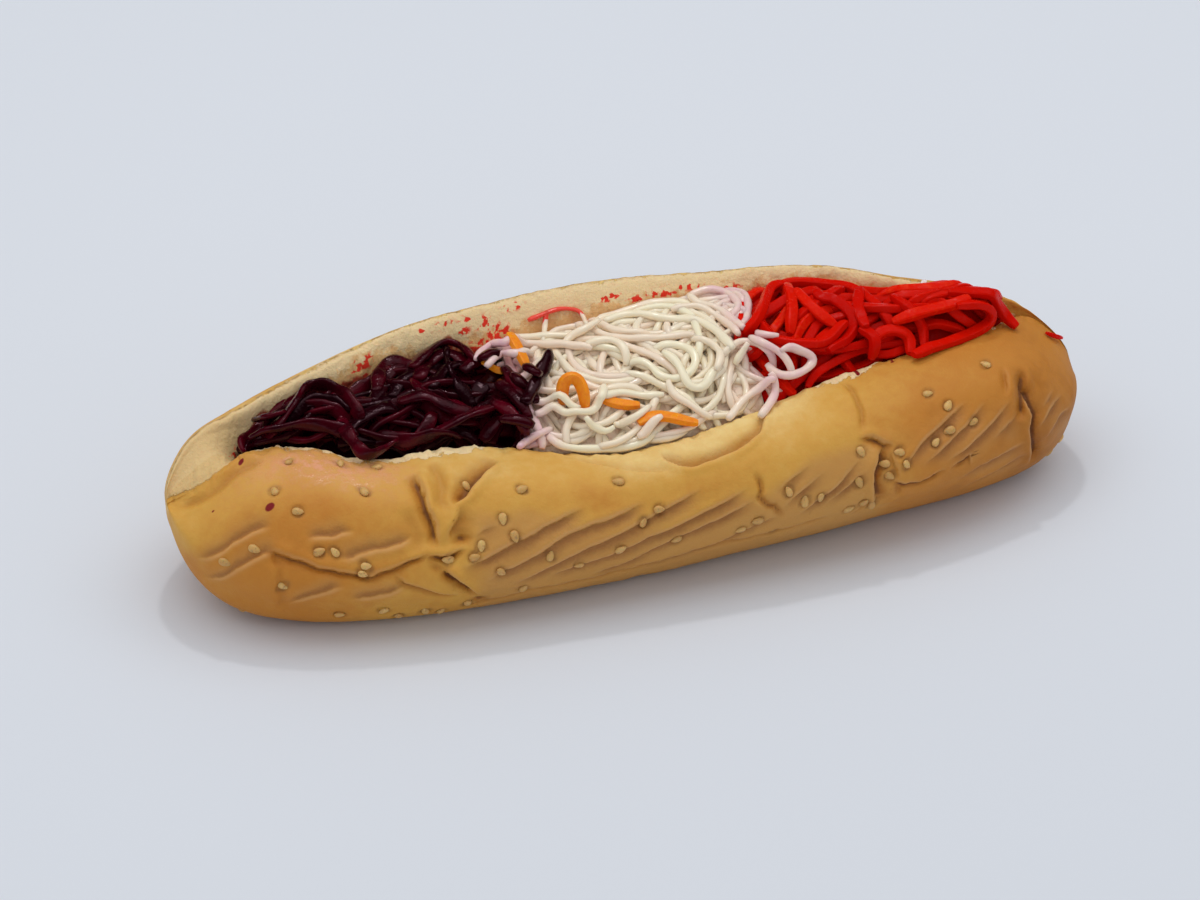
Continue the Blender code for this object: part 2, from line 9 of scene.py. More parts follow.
import bpy
import numpy as np
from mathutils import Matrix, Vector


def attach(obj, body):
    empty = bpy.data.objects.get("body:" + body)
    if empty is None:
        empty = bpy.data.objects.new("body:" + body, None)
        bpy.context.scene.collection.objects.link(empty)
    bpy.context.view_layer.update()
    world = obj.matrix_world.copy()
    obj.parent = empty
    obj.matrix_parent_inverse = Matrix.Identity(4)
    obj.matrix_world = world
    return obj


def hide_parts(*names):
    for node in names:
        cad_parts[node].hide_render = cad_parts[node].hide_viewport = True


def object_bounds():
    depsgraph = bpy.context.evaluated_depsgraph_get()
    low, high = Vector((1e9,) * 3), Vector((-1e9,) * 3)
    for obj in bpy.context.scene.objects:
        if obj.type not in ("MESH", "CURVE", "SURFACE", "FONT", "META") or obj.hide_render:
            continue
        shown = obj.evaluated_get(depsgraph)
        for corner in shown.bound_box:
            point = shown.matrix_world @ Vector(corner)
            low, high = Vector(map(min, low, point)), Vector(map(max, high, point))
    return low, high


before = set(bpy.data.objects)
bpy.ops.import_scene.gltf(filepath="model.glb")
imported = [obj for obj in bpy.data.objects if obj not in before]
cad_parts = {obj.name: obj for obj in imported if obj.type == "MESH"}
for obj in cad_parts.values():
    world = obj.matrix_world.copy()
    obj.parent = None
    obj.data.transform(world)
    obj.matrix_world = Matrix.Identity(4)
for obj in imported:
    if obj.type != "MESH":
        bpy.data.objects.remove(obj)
cad_low, cad_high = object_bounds()
MM = 0.001


# ---------------------------------------------------------------- the view
# The roll lies on a plain pale table under one large soft lamp, a little behind it, so its shadow
# falls towards the viewer. The camera looks down on its near side from the left, with a long lens.

VIEW_RISE = math.radians(34.0)
VIEW_SWING = math.radians(-16.5)
VIEW_DISTANCE = 950.0
VIEW_CENTRE = (-8.1, -0.6, 20.2)
VIEW_PIXELS = (1200, 900)
LENS = 118.0
SENSOR = 36.0
FAR_LIMIT = 20.0             # metres
LAMP_PLACE = (0.02, 0.12, 0.95)
LAMP_SIZE = (2.2, 0.8)
LAMP_POWER = 4.2
LAMP_COLOUR = (1.0, 0.985, 0.96)
WINDOW_PLACE = (0.10, 0.45, 1.1)
WINDOW_SIZE = (0.08, 0.08)
WINDOW_POWER = 1.5
SKY_COLOUR = (0.93, 0.96, 1.0, 1)
SKY_STRENGTH = 0.64
TABLE_SIZE = 6.0
TABLE_GAP = 0.0002           # the table lies this far under the roll
TABLE_COLOUR = (0.735, 0.765, 0.82)
TABLE_DARKER = 0.97
TABLE_CLOUDS = 400.0


class Tone:
    """What a node of a finish gives: a value or a colour that varies over the surface."""

    def __init__(self, socket):
        self.socket = socket

    def maths(self, what, other=0.0):
        return add_node(self.socket.id_data, "ShaderNodeMath", {0: self, 1: other}, operation=what)

    def __add__(self, other):
        return self.maths("ADD", other)

    def __sub__(self, other):
        return self.maths("SUBTRACT", other)

    def __mul__(self, other):
        return self.maths("MULTIPLY", other)

    def spread(self, low, high, to_low=0.0, to_high=1.0):
        """The value mapped softly from one range to another, and held at its ends."""
        inputs = {"Value": self, "From Min": low, "From Max": high, "To Min": to_low, "To Max": to_high}
        return add_node(self.socket.id_data, "ShaderNodeMapRange", inputs,
                        interpolation_type="SMOOTHSTEP")

    def between(self, low, high):
        """Grain brought to lie between two values."""
        return self.spread(0.3, 0.7, low, high)

    def blend(self, below, above):
        """Colour between two colours, with this value as the share of the second."""
        inputs = {0: self, 6: below, 7: above}
        return add_node(self.socket.id_data, "ShaderNodeMix", inputs, output=2, data_type="RGBA")


def add_node(tree, kind, inputs=None, output=0, **settings):
    """What one new node gives. Its inputs are plain values, colours, or what other nodes give."""
    made = tree.nodes.new(kind)
    for name, value in settings.items():
        setattr(made, name, value)
    for name, value in (inputs or {}).items():
        if isinstance(value, Tone):
            tree.links.new(value.socket, made.inputs[name])
        else:
            made.inputs[name].default_value = (*value, 1) if isinstance(value, tuple) else value
    return Tone(made.outputs[output])


class Finish:
    """A material, with the given values on its shader's own sockets."""

    def __init__(self, name, **values):
        self.material = bpy.data.materials.new(name)
        self.material.use_nodes = True
        self.tree = self.material.node_tree
        self.shader = self.tree.nodes["Principled BSDF"]
        for key, value in values.items():
            self.shader.inputs[key.replace("_", " ").title().replace("Ior", "IOR")].default_value = value
        self.place = add_node(self.tree, "ShaderNodeTexCoord", output="Object")

    def grain(self, size, detail=2.0, rough=0.5):
        """Soft noise with features of a size in millimetres."""
        inputs = {"Vector": self.place, "Scale": 1 / (size * MM), "Detail": detail, "Roughness": rough}
        return add_node(self.tree, "ShaderNodeTexNoise", inputs, output="Fac")

    def mark(self, name):
        """What a mesh says of each of its points."""
        return add_node(self.tree, "ShaderNodeAttribute", output="Fac", attribute_name=name)

    def show(self, socket, tone):
        """Let a varying tone reach the shader."""
        self.tree.links.new(tone.socket, self.shader.inputs[socket])

    def bump(self, height, depth):
        """Fine relief, with its depth in millimetres."""
        inputs = {"Height": height, "Distance": depth * MM, "Strength": 1.0}
        self.show("Normal", add_node(self.tree, "ShaderNodeBump", inputs))


def hang_lamp(name, shape, place, size, power, colour=(1.0, 1.0, 1.0)):
    """A lamp over the table, facing its middle."""
    light = bpy.data.lights.new(name, "AREA")
    light.shape = shape
    light.size, light.size_y = size
    light.energy = power
    light.color = colour
    lamp = bpy.data.objects.new(name, light)
    lamp.location = place
    lamp.rotation_euler = (-math.atan2(place[1], place[2]), math.atan2(place[0], place[2]), 0)
    bpy.context.scene.collection.objects.link(lamp)


to_camera = np.array((math.sin(VIEW_SWING) * math.cos(VIEW_RISE),
                      -math.cos(VIEW_SWING) * math.cos(VIEW_RISE), math.sin(VIEW_RISE)))
lens = bpy.data.cameras.new("view")
lens.lens = LENS
lens.sensor_width = SENSOR
lens.clip_end = FAR_LIMIT
camera = bpy.data.objects.new("view", lens)
camera.location = (np.array(VIEW_CENTRE) + to_camera * VIEW_DISTANCE) * MM
camera.rotation_euler = (math.pi / 2 - VIEW_RISE, 0, VIEW_SWING)
bpy.context.scene.collection.objects.link(camera)
bpy.context.scene.camera = camera
bpy.context.scene.view_settings.view_transform = "Standard"

hang_lamp("softbox", "RECTANGLE", LAMP_PLACE, LAMP_SIZE, LAMP_POWER, LAMP_COLOUR)
hang_lamp("window", "DISK", WINDOW_PLACE, WINDOW_SIZE, WINDOW_POWER)
# The room's light fills the shadows and isn't mirrored, so that dark wet pieces stay dark.
sky = bpy.data.worlds.new("room")
sky.use_nodes = True
sky.node_tree.nodes["Background"].inputs["Color"].default_value = SKY_COLOUR
sky.node_tree.nodes["Background"].inputs["Strength"].default_value = SKY_STRENGTH
sky.cycles_visibility.glossy = False
bpy.context.scene.world = sky

table_mesh = bpy.data.meshes.new("table")
half = TABLE_SIZE / 2
corners = [(x * half, y * half, -TABLE_GAP) for x, y in ((-1, -1), (1, -1), (1, 1), (-1, 1))]
table_mesh.from_pydata(corners, [], [(0, 1, 2, 3)])
table = bpy.data.objects.new("table", table_mesh)
bpy.context.scene.collection.objects.link(table)
finish = Finish("table_finish", roughness=0.75)
table_shade = tuple(TABLE_DARKER * part for part in TABLE_COLOUR)
finish.show("Base Color", finish.grain(TABLE_CLOUDS).blend(TABLE_COLOUR, table_shade))
table_mesh.materials.append(finish.material)


# ---------------------------------------------------------------- the roll
# A soft enriched wheat roll, baked on a ribbed tray so that slanting ribs run down its sides.
# It is split along the top by hand, which tears the rims, and pinching to open it creases the crust.

LENGTH = 228.0
HALF = LENGTH / 2
BELLY = 38.0                 # half the width at the belly
MID_Z = 22.0                 # height of the axis that the ends close to
TIP_FROM = -98.0             # left of here the axis rises,
TIP_LIFT = 2.6               # by this much at the tip
FLOOR_Z = 13.0               # bottom of the slit
# How blunt the roll is seen from above, near side left and right and far side, and how its height
# closes to the ends: sharpness and bluntness.
NEAR_LEFT, NEAR_RIGHT, FAR_SIDE, CLOSING = (3.6, 2.3), (2.7, 2.2), (2.9, 2.2), (9.0, 2.4)
SLIT_FROM, SLIT_TO = -104, 109
SLIT_END = 24                # the slit deepens over this much from its ends
STATIONS = 380
END_SHARE = 0.25             # how much closer the stations lie towards the ends
LAST_STATION = 0.9995        # of the way to the very tip, which the skin closes with a point
EDGE_ROOM = 0.1              # the crust's relief stays this far inside the solids' box
# Points on each of the 16 spans round a section: near crust, underside, far crust, slit.
SPAN_CUTS = (32, 40, 20, 17, 6, 6, 14, 18, 18, 17, 20, 12, 6, 8, 10, 14)
BACK_RIM_SPAN = 10

# The two torn rims of the slit: (x, y) and (x, z), near side and far side.
FRONT_RIM_Y = ((-114, 0), (-107, -4), (-95, 0), (-82, -1), (-68, -9), (-48, -10), (-30, -14),
               (-8, -19.5), (12, -18.5), (30, -15), (46, -10.5), (62, -7), (80, -4), (95, 1.5),
               (105, 7), (114, 4))
FRONT_RIM_Z = ((-114, 24), (-107, 30), (-95, 35.5), (-82, 35.5), (-68, 34), (-44, 34), (-12, 31),
               (8, 32), (44, 35.5), (78, 37), (95, 37), (105, 37), (114, 34))
BACK_RIM_Y = ((-114, 8), (-107, 14), (-95, 16.5), (-78, 20), (-50, 27.3), (-28, 30), (26, 31),
              (46, 30), (61, 26.5), (76, 20), (90, 15), (103, 12), (114, 5))
BACK_RIM_Z = ((-114, 34), (-107, 37.3), (-95, 38.2), (-78, 40.7), (-50, 45.2), (-28, 46.4),
              (10, 46.7), (26, 45.4), (61, 43.9), (76, 42), (90, 41), (103, 39.5), (114, 35))
# How far the near side's foot is tucked under, from 0 to 1 along X.
NEAR_TUCK = ((-114, 0), (-50, 0), (0, 0.35), (40, 0.8), (70, 1), (92, 0.75), (108, 0.45), (114, 0.3))

# Ribs slant down the sides. Each is its edge, points (x, distance down from the rim): the crust
# drops there at once, on its right from the first point, and comes back slowly away from it.
RIBS = (
    ((-49.5, 28), (-45.5, 26), (-41, 24.2)),
    ((-53.5, 35), (-46.5, 33), (-37, 27.8), (-25.5, 20.6), (-20.5, 17.8)),
    ((-47, 39.5), (-41.5, 36), (-33.5, 30.8), (-25.5, 25), (-18.5, 21.2), (-6, 15.7)),
    ((-40.5, 41.3), (-34.5, 37), (-23, 28.8), (-11, 22), (-4.5, 19.3), (8, 16.2)),
    ((-32, 38.5), (-20.5, 32), (-7, 25), (2, 22.9), (19, 19.8)),
    ((-21, 38), (-11, 32.4), (-5.5, 28.9), (0.5, 26.7), (20.5, 23)),
    ((-10, 36.5), (-1, 34.6), (13.5, 32.5), (26.5, 29.3)),
    ((24, 23.7), (35, 20.8)), ((25, 28.3), (38.5, 24)), ((29, 33), (40.5, 29.1), (48, 24.8)),
    ((36, 33.5), (49.5, 28.2)), ((56.5, 32), (65.4, 26.1), (78, 19.5)),
    ((62.5, 33.2), (75.4, 26.1), (83, 21)), ((68.4, 33.4), (76, 30.9), (84, 26.4), (90, 22.4)),
    ((81.4, 31.5), (89, 27.8), (91.8, 25.4)), ((72.4, 41), (79, 37.5), (93.6, 34)),
    ((76.4, 46.3), (84, 43), (94.6, 38)), ((97.4, 27.8), (101, 25.4), (104, 22)),
    ((95.4, 32.7), (102.4, 27), (106.5, 22)), ((98.4, 36.7), (105.4, 27.9), (109, 23)))
RIB_DEPTH = 0.75
RIB_WIDTH = 3.0              # how soon the crust comes back below a rib's edge
RIB_PLAIN = 1.0
RIB_END = 8.0                # a rib fades out over this much at its ends
# The soft shallow ribs of the left end.
SOFT_RIBS = (
    ((-93, 23.4), (-102.4, 18.3), (-111, 16.8)), ((-93, 29), (-102.9, 24.1), (-109.5, 24.3)),
    ((-75, 25), (-80.9, 28.1), (-87, 28.5)), ((-62, 23.8), (-71.4, 27.8), (-80, 34)),
    ((-79, 39.6), (-92.4, 44.5)), ((-65, 35.6), (-78.4, 44)))
SOFT_DEPTH = 0.6
SOFT_WIDTH = 2.0
SOFT_PLAIN = 0.85
DULL_FROM = 19.0             # below this the crust was on the tray and is duller,
DULL_ENDS = (-52, 46)        # between these
# Creases of the near crust, and of the far one with X turned round: points (x, distance down),
# depth, width, how dark its painted shade is, and which side of the line lies lower. 0 is a groove, 1 and
# -1 a ledge that drops on the line's right or left, seen from outside.
CREASES = (
    (((-38, 4.5), (-44, 12.2), (-48, 16.3), (-52.5, 19.3)), 2.5, 2.8, 0.80, 1),
    (((-53, 3.5), (-53, 10), (-54, 17), (-53.5, 21.3)), 1.2, 1.4, 0.35, 0),
    (((-59, 6.5), (-57.6, 14.3), (-57.9, 18.8), (-57, 22.8), (-57.4, 28.5)), 2.2, 2.0, 0.80, 1),
    (((-62.5, 17), (-61.8, 23), (-61.2, 29)), 0.9, 2.0, 0.30, 0),
    (((-49.5, 19.5), (-51, 22.4), (-53.5, 25.5), (-54, 28)), 1.7, 3.0, 0.62, -1),
    (((-54.5, 28.3), (-51.5, 27), (-48, 27.6)), 1.8, 1.3, 0.90, 0),
    (((-61, 30), (-58, 30), (-55, 30.8), (-50, 29.4)), 1.4, 1.1, 0.85, 1),
    (((-59.5, 30), (-58.6, 31.8), (-57, 33.5), (-54.5, 34.2)), 0.8, 1.0, 0.55, 0),
    (((-57, 33), (-54, 36.9), (-51.5, 39.9), (-48, 45.5)), 2.5, 1.5, 1.00, 1),
    (((-50.5, 45.5), (-47.5, 47.5), (-44, 47)), 1.2, 1.2, 0.90, 0),
    (((-96.5, 27.8), (-94.4, 28.7), (-90.4, 32.6), (-85.4, 35.7), (-79.9, 37.2), (-73.9, 35.8),
      (-68.4, 32.6), (-63.4, 29.8), (-58.5, 29.3)), 1.2, 1.2, 0.72, 1),
    (((-68.5, 32.6), (-65.9, 35.5), (-61.9, 37.6), (-57.9, 40.8), (-52.5, 44.5)), 1.0, 1.1, 0.65, 1),
    (((-94.5, 28), (-93.6, 31), (-91.5, 34)), 0.8, 0.9, 0.50, 0),
    (((-92.9, 31.4), (-93.4, 38.4), (-92.4, 48)), 0.5, 0.9, 0.30, 0),
    (((0.5, 2.5), (1.5, 6), (3.5, 8.2), (6, 9.5), (12, 9.8), (16, 9.2), (21, 8.3), (24.5, 6.7),
      (27, 3.5), (28, 0.5)), 1.5, 2.2, 0.58, -1),
    (((-22.5, 0.5), (-14.5, 4), (-6, 7.3), (1.5, 9.4)), 0.5, 1.8, 0.16, -1),
    (((20, 16), (21, 18.9), (21, 21), (20.5, 22.6), (22.5, 25.6), (24, 26.4), (27, 31.5)),
     0.9, 0.7, 0.70, 0),
    (((49, 1), (50.5, 6.3), (50, 13.3), (49, 20)), 0.7, 0.8, 0.42, 0),
    (((47, 20.5), (51, 21.5), (53.5, 24), (56.5, 25.8)), 1.3, 1.5, 0.80, 1),
    (((54.5, 23.5), (52, 25.9), (50.5, 29.7), (50, 32.3), (50.5, 36), (51.5, 40)), 2.0, 2.0, 0.85, -1),
    (((54.8, 25), (55.4, 30), (55.2, 34)), 1.0, 1.1, 0.40, 1),
    (((53.5, 32.8), (57.4, 35.5), (61.9, 37.1), (65.4, 36.5), (69.5, 34.8)), 1.0, 1.0, 0.90, 1),
    (((54.8, 33.4), (56, 36), (57, 39.5)), 0.9, 0.8, 0.80, 0),
    (((69.4, 35.3), (75.6, 33.3), (75.8, 36.8)), 0.8, 0.9, 0.80, 1),
    (((45, 42.5), (48.5, 38.6), (54, 37.6)), 0.8, 1.0, 0.60, 1),
    (((92.5, 18.5), (93.9, 23.8), (95, 27.5), (94.2, 31), (95, 37), (96.6, 46)), 2.4, 2.1, 1.00, -1),
    (((94.6, 14.5), (93, 19.8), (91.9, 24), (91.2, 29)), 1.5, 1.2, 0.85, 0),
    (((90, 13.5), (88.3, 22)), 0.8, 1.2, 0.35, 1),
    (((-90, 3.8), (-103, 2.2), (-113, 1.5)), 1.0, 1.4, 0.40, 0),
    (((-51, 49.6), (-47.5, 49.3), (-37.5, 45.3), (-28, 42), (-18, 38.8), (-8, 35.7), (0, 33.8)),
     0.9, 1.1, 0.55, 1),
    (((3, 32.6), (16.5, 35.6), (28, 37.5), (39, 38.5)), 0.8, 1.1, 0.55, 1))
# Where the crust is crumpled: (x, distance down), reach along and down, and how much.
CRUMPLED = (((-53, 31), (8, 11), 1.0), ((54, 31), (6, 8), 0.9), ((93, 27), (7, 12), 0.9),
            ((-88, 34), (9, 6), 0.5), ((72, 35), (10, 4), 0.6), ((-48, 14), (7, 8), 0.3),
            ((21, 23), (3, 7), 0.35), ((-20, 44), (34, 4), 0.5), ((60, 42), (40, 5), 0.5))
CRUMPLE_DEPTH = 0.45
LIP = 0.30                   # the crust swells beside a crease by this share of its depth
LIP_WIDTH = 1.1
CREASE_END = 4.0             # a crease fades out over this much at its ends
LEDGE_STEEP = 0.38           # how soon the high side of a ledge rises, near side
FAR_STEEP = 1.3              # and far side
RIB_SETS, FOLD_SETS = ("rib_a", "rib_b"), ("fold_a", "fold_b", "fold_c")
SOFT_LUMPS = ((0.22, 18, 14), (0.06, 5, 15), (0.025, 2.0, 16))   # height, size and random setting
WOBBLE = 0.4                 # creases wander by this much,
RIB_WOBBLE = 0.35            # and ribs by this share of it

# Where the cut face turns from smooth pale crumb to rough toasted crumb: (x, distance down
# from the far rim).
TOAST_LINE = ((-114, 34), (-98, 30), (-92, 17), (-84, 7.5), (-76, 4.2), (-66, 2.6), (-54, 3.2),
              (-46, 6), (-30, 6.5), (0, 5.5), (20, 4), (45, 3), (65, 2.5), (85, 3), (105, 2))
# How far the torn crumb shows over the near rim.
TORN_OVER = ((-114, -1.5), (-96, -1.2), (-84, 0.3), (-76, 0.7), (-70, 2.4), (-65, 0.7), (-59, 1.8),
             (-52, 3.2), (-44, 2.6), (-37, -0.5), (0, -1), (42, -0.6), (50, 2.0), (56, 1.3), (62, -0.4),
             (96, -0.5), (104, -3), (114, -6))

# Red splashes on the far cut face: (x, distance down from the far rim), reach along and down.
SPLASHES = (((-44, 2), (1.5, 0.7)), ((-39, 2), (1.8, 0.8)), ((-33.5, 2.3), (1.6, 0.9)),
            ((-34.5, 4.8), (1.2, 0.7)), ((-29, 4), (1.9, 1.4)), ((-26, 7), (2.4, 1.8)),
            ((-29, 9.5), (5, 1.5)), ((-21.5, 1.7), (2.1, 0.8)), ((3, 4), (2.3, 0.8)),
            ((10, 5.2), (2.2, 0.6)), ((15.5, 4.2), (4, 0.7)), ((22.5, 3), (3.5, 0.6)),
            ((32, 4.3), (4, 0.9)), ((48, 4.7), (5, 0.9)), ((64, 5), (6, 1)), ((-61, 4), (2.6, 1.4)),
            ((-60, 9), (5, 2)), ((-80, 7.5), (5, 1.2)), ((-95, 11), (3, 2)))
# From here to the right the red carrot has dyed the far cut face low down, this strongly.
DYED_FROM, DYED_DOWN, DYED = 34, 3.8, 0.52

# Where the beet's juice has soaked into the far cut face: its ends, and its upper edge
# (x, distance down).
SOAKED_FROM, SOAKED_TO = -98, -29
SOAKED_LINE = ((-97, 11), (-91, 8), (-89, 4.5), (-82, 5.8), (-77, 3.2), (-73.9, 2.8), (-69.4, 4.6),
               (-66, 6.5), (-62, 6.8), (-58, 7.5), (-54.5, 6.4), (-51, 6.5), (-44.5, 8.4), (-42, 7.4),
               (-38.5, 5.7), (-34.5, 8.8), (-30, 13))
# Where it has run over the near rim, and specks of beet on the near crust: (x, distance down),
# reach along and down.
JUICE = ((-80, 7), (13, 6))
FAINT_JUICE = ((-68, 5), (8, 5))
FAINTER = 0.8
SPECKS = (((-92.9, 18.7), (1.3, 1.1)), ((-95.9, 0.7), (0.8, 0.8)), ((-104.9, 7.8), (0.4, 0.4)),
          ((54.5, 0), (0.5, 0.5)), ((63.9, 0.3), (0.6, 0.5)))

# Places of the sesame seeds on the near side, each in its shallow pit: (x, distance down).
SEED_PLACES = (
    (-91, 15), (-87, 22), (-84, 32), (-80.5, 32), (-74, 33), (-75, 35.5), (-93, 38),
    (-71, 13), (-66, 2.5), (-74, 4), (-85.5, 6), (-47, 13), (-41, 23), (-39, 27), (-47, 29.5),
    (-49, 32), (-55, 31.5), (-31, 31), (-43, 36), (-35, 15), (-12, 10), (-4, 18), (-8, 20.5),
    (-14, 27.5), (-24, 33.5), (0, 27.5), (-37, 43), (28, 24.5), (20, 29), (16, 30.5), (32, 29),
    (36, 30), (47.5, 23.5), (46, 30.5), (57, 27), (53, 28.5), (54, 32), (58.5, 30.5), (50, 40),
    (47.5, 37.5), (44, 38.5), (68, 15), (85.5, 11.5), (78, 25), (71, 25.5), (67, 27.5), (72, 19.5),
    (8, 34), (25, 37), (-70, 47), (-66, 50), (-60, 49), (-56, 51), (-50, 49), (-80, 52))
PIT_DEPTH = 0.4
PIT_REACH = 1.15             # from the seed's middle
PIT_WIDTH = 0.5


def smooth_curve(knots, x):
    """Smooth curve through (x, value) knots, level past both ends."""
    points = np.array(knots, float)
    xs, ys = points[:, 0], points[:, 1]
    slope = np.gradient(ys, xs)
    x = np.clip(np.asarray(x, float), xs[0], xs[-1])
    i = np.clip(np.searchsorted(xs, x) - 1, 0, len(xs) - 2)
    h = xs[i + 1] - xs[i]
    t = (x - xs[i]) / h
    rise = t * t * (3 - 2 * t)
    return (ys[i] + (ys[i + 1] - ys[i]) * rise
            + h * (t * (1 - t) ** 2 * slope[i] - t * t * (1 - t) * slope[i + 1]))


def ease(t):
    """Soft step from 0 to 1."""
    t = np.clip(t, 0, 1)
    return t * t * (3 - 2 * t)


def through(a, b, c, d, t):
    """The point a share t of the smooth way from b to c, which comes from a and goes on to d."""
    return 0.5 * (2 * b + (c - a) * t + (2 * a - 5 * b + 4 * c - d) * t ** 2
                  + (3 * b - a - 3 * c + d) * t ** 3)


def station(xs, x):
    """The last station before x, and how far x lies on the way to the next."""
    i = int(np.clip(np.searchsorted(xs, x) - 1, 0, len(xs) - 2))
    return i, (x - xs[i]) / (xs[i + 1] - xs[i])


def lumps(u, v, size, setting):
    """Smooth random heights from -1 to 1 over a plane, with lumps of the given size."""
    table_size = 256
    heights = np.random.default_rng(setting).uniform(-1, 1, (table_size, table_size))
    u, v = np.broadcast_arrays(np.asarray(u, float) / size, np.asarray(v, float) / size)
    i, j = np.floor(u).astype(int), np.floor(v).astype(int)
    a, b = ease(u - i), ease(v - j)

    def at(p, q):
        return heights[p % table_size, q % table_size]

    return (at(i, j) * (1 - a) * (1 - b) + at(i + 1, j) * a * (1 - b)
            + at(i, j + 1) * (1 - a) * b + at(i + 1, j + 1) * a * b)


def rounding(x, sharpness, bluntness):
    """How full the roll is at x, from 1 in the middle to 0 at its very ends."""
    return np.clip(1 - abs(x / HALF) ** sharpness, 0, 1) ** (1 / bluntness)


def section(x):
    """The 16 guide points round the roll at x, from the near rim down, round and back up."""
    front = BELLY * rounding(x, *(NEAR_LEFT if x < 0 else NEAR_RIGHT))
    far = BELLY * rounding(x, *FAR_SIDE)
    close = rounding(x, *CLOSING)
    tuck = smooth_curve(NEAR_TUCK, x)
    middle = MID_Z + TIP_LIFT * ease((TIP_FROM - x) / (HALF + TIP_FROM))

    def level(z):
        return middle + (z - middle) * close

    front_y = smooth_curve(FRONT_RIM_Y, x) * close
    front_z = level(smooth_curve(FRONT_RIM_Z, x))
    back_y = smooth_curve(BACK_RIM_Y, x) * close
    back_z = level(smooth_curve(BACK_RIM_Z, x))
    opened = ease((x - SLIT_FROM) / SLIT_END) * ease((SLIT_TO - x) / SLIT_END)
    shut_z = (front_z + back_z) / 2 - 0.8 * close
    floor_y = (front_y + back_y) / 2 + close
    floor_z = shut_z + (FLOOR_Z - shut_z) * opened
    return np.array((
        # The near rim, the near side and its foot.
        (front_y, front_z),
        (front_y - (front + front_y) * 0.62, level(front_z - (front_z - 20) * 0.14)),
        (-(1 - 0.03 * tuck) * front, level(19.0 + 3 * tuck)),
        (-(0.93 - 0.11 * tuck) * front, level(8.5 + tuck)),
        # The underside.
        (-(0.70 - 0.20 * tuck) * front, level(0.0)),
        (0.0, level(-0.6)),
        (0.70 * far, level(0.0)),
        # The far side, up to the far rim.
        (0.93 * far, level(9.0)),
        (far, level(22.0)),
        (back_y + (far - back_y) * 0.72, back_z - (back_z - 22) * 0.32),
        (back_y, back_z),
        # The slit: the far cut face, its floor and the near cut face.
        (back_y + (floor_y - back_y) * 0.34, back_z - (back_z - floor_z) * 0.36),
        (back_y + (floor_y - back_y) * 0.68, back_z - (back_z - floor_z) * 0.80),
        (floor_y, floor_z),
        (front_y + (floor_y - front_y) * 0.60, front_z - (front_z - floor_z) * 0.80),
        (front_y + (floor_y - front_y) * 0.28, front_z - (front_z - floor_z) * 0.34)))


def outline(x):
    """The smooth closed outline through the guide points at x."""
    guide = section(x)
    count = len(guide)
    points = []
    for k, cuts in enumerate(SPAN_CUTS):
        a, b, c, d = guide[k - 1], guide[k], guide[(k + 1) % count], guide[(k + 2) % count]
        points += [through(a, b, c, d, t) for t in np.arange(cuts) / cuts]
    return np.array(points)


def line_place(x, s, line):
    """Distance of each (x, s) from a line of points, signed by side, and its way along from the ends."""
    best = np.full(np.shape(x), 1e9)
    side = np.ones(np.shape(x))
    way = np.zeros(np.shape(x))
    start = 0.0
    for (x0, s0), (x1, s1) in zip(line, line[1:]):
        dx, ds = x1 - x0, s1 - s0
        length = math.hypot(dx, ds)
        t = np.clip(((x - x0) * dx + (s - s0) * ds) / length ** 2, 0, 1)
        apart = np.hypot(x - x0 - t * dx, s - s0 - t * ds)
        nearer = apart < best
        best = np.where(nearer, apart, best)
        side = np.where(nearer, np.where(dx * (s - s0) - ds * (x - x0) > 0, 1.0, -1.0), side)
        way = np.where(nearer, start + t * length, way)
        start += length
    return best, side, np.minimum(way, start - way)


def crumple(x, s):
    """How crumpled the crust is."""
    crumpled = np.zeros(np.shape(x))
    for (x0, s0), (reach_x, reach_s), much in CRUMPLED:
        there = much * np.exp(-((x - x0) / reach_x) ** 2 - ((s - s0) / reach_s) ** 2)
        crumpled = np.maximum(crumpled, there)
    return crumpled


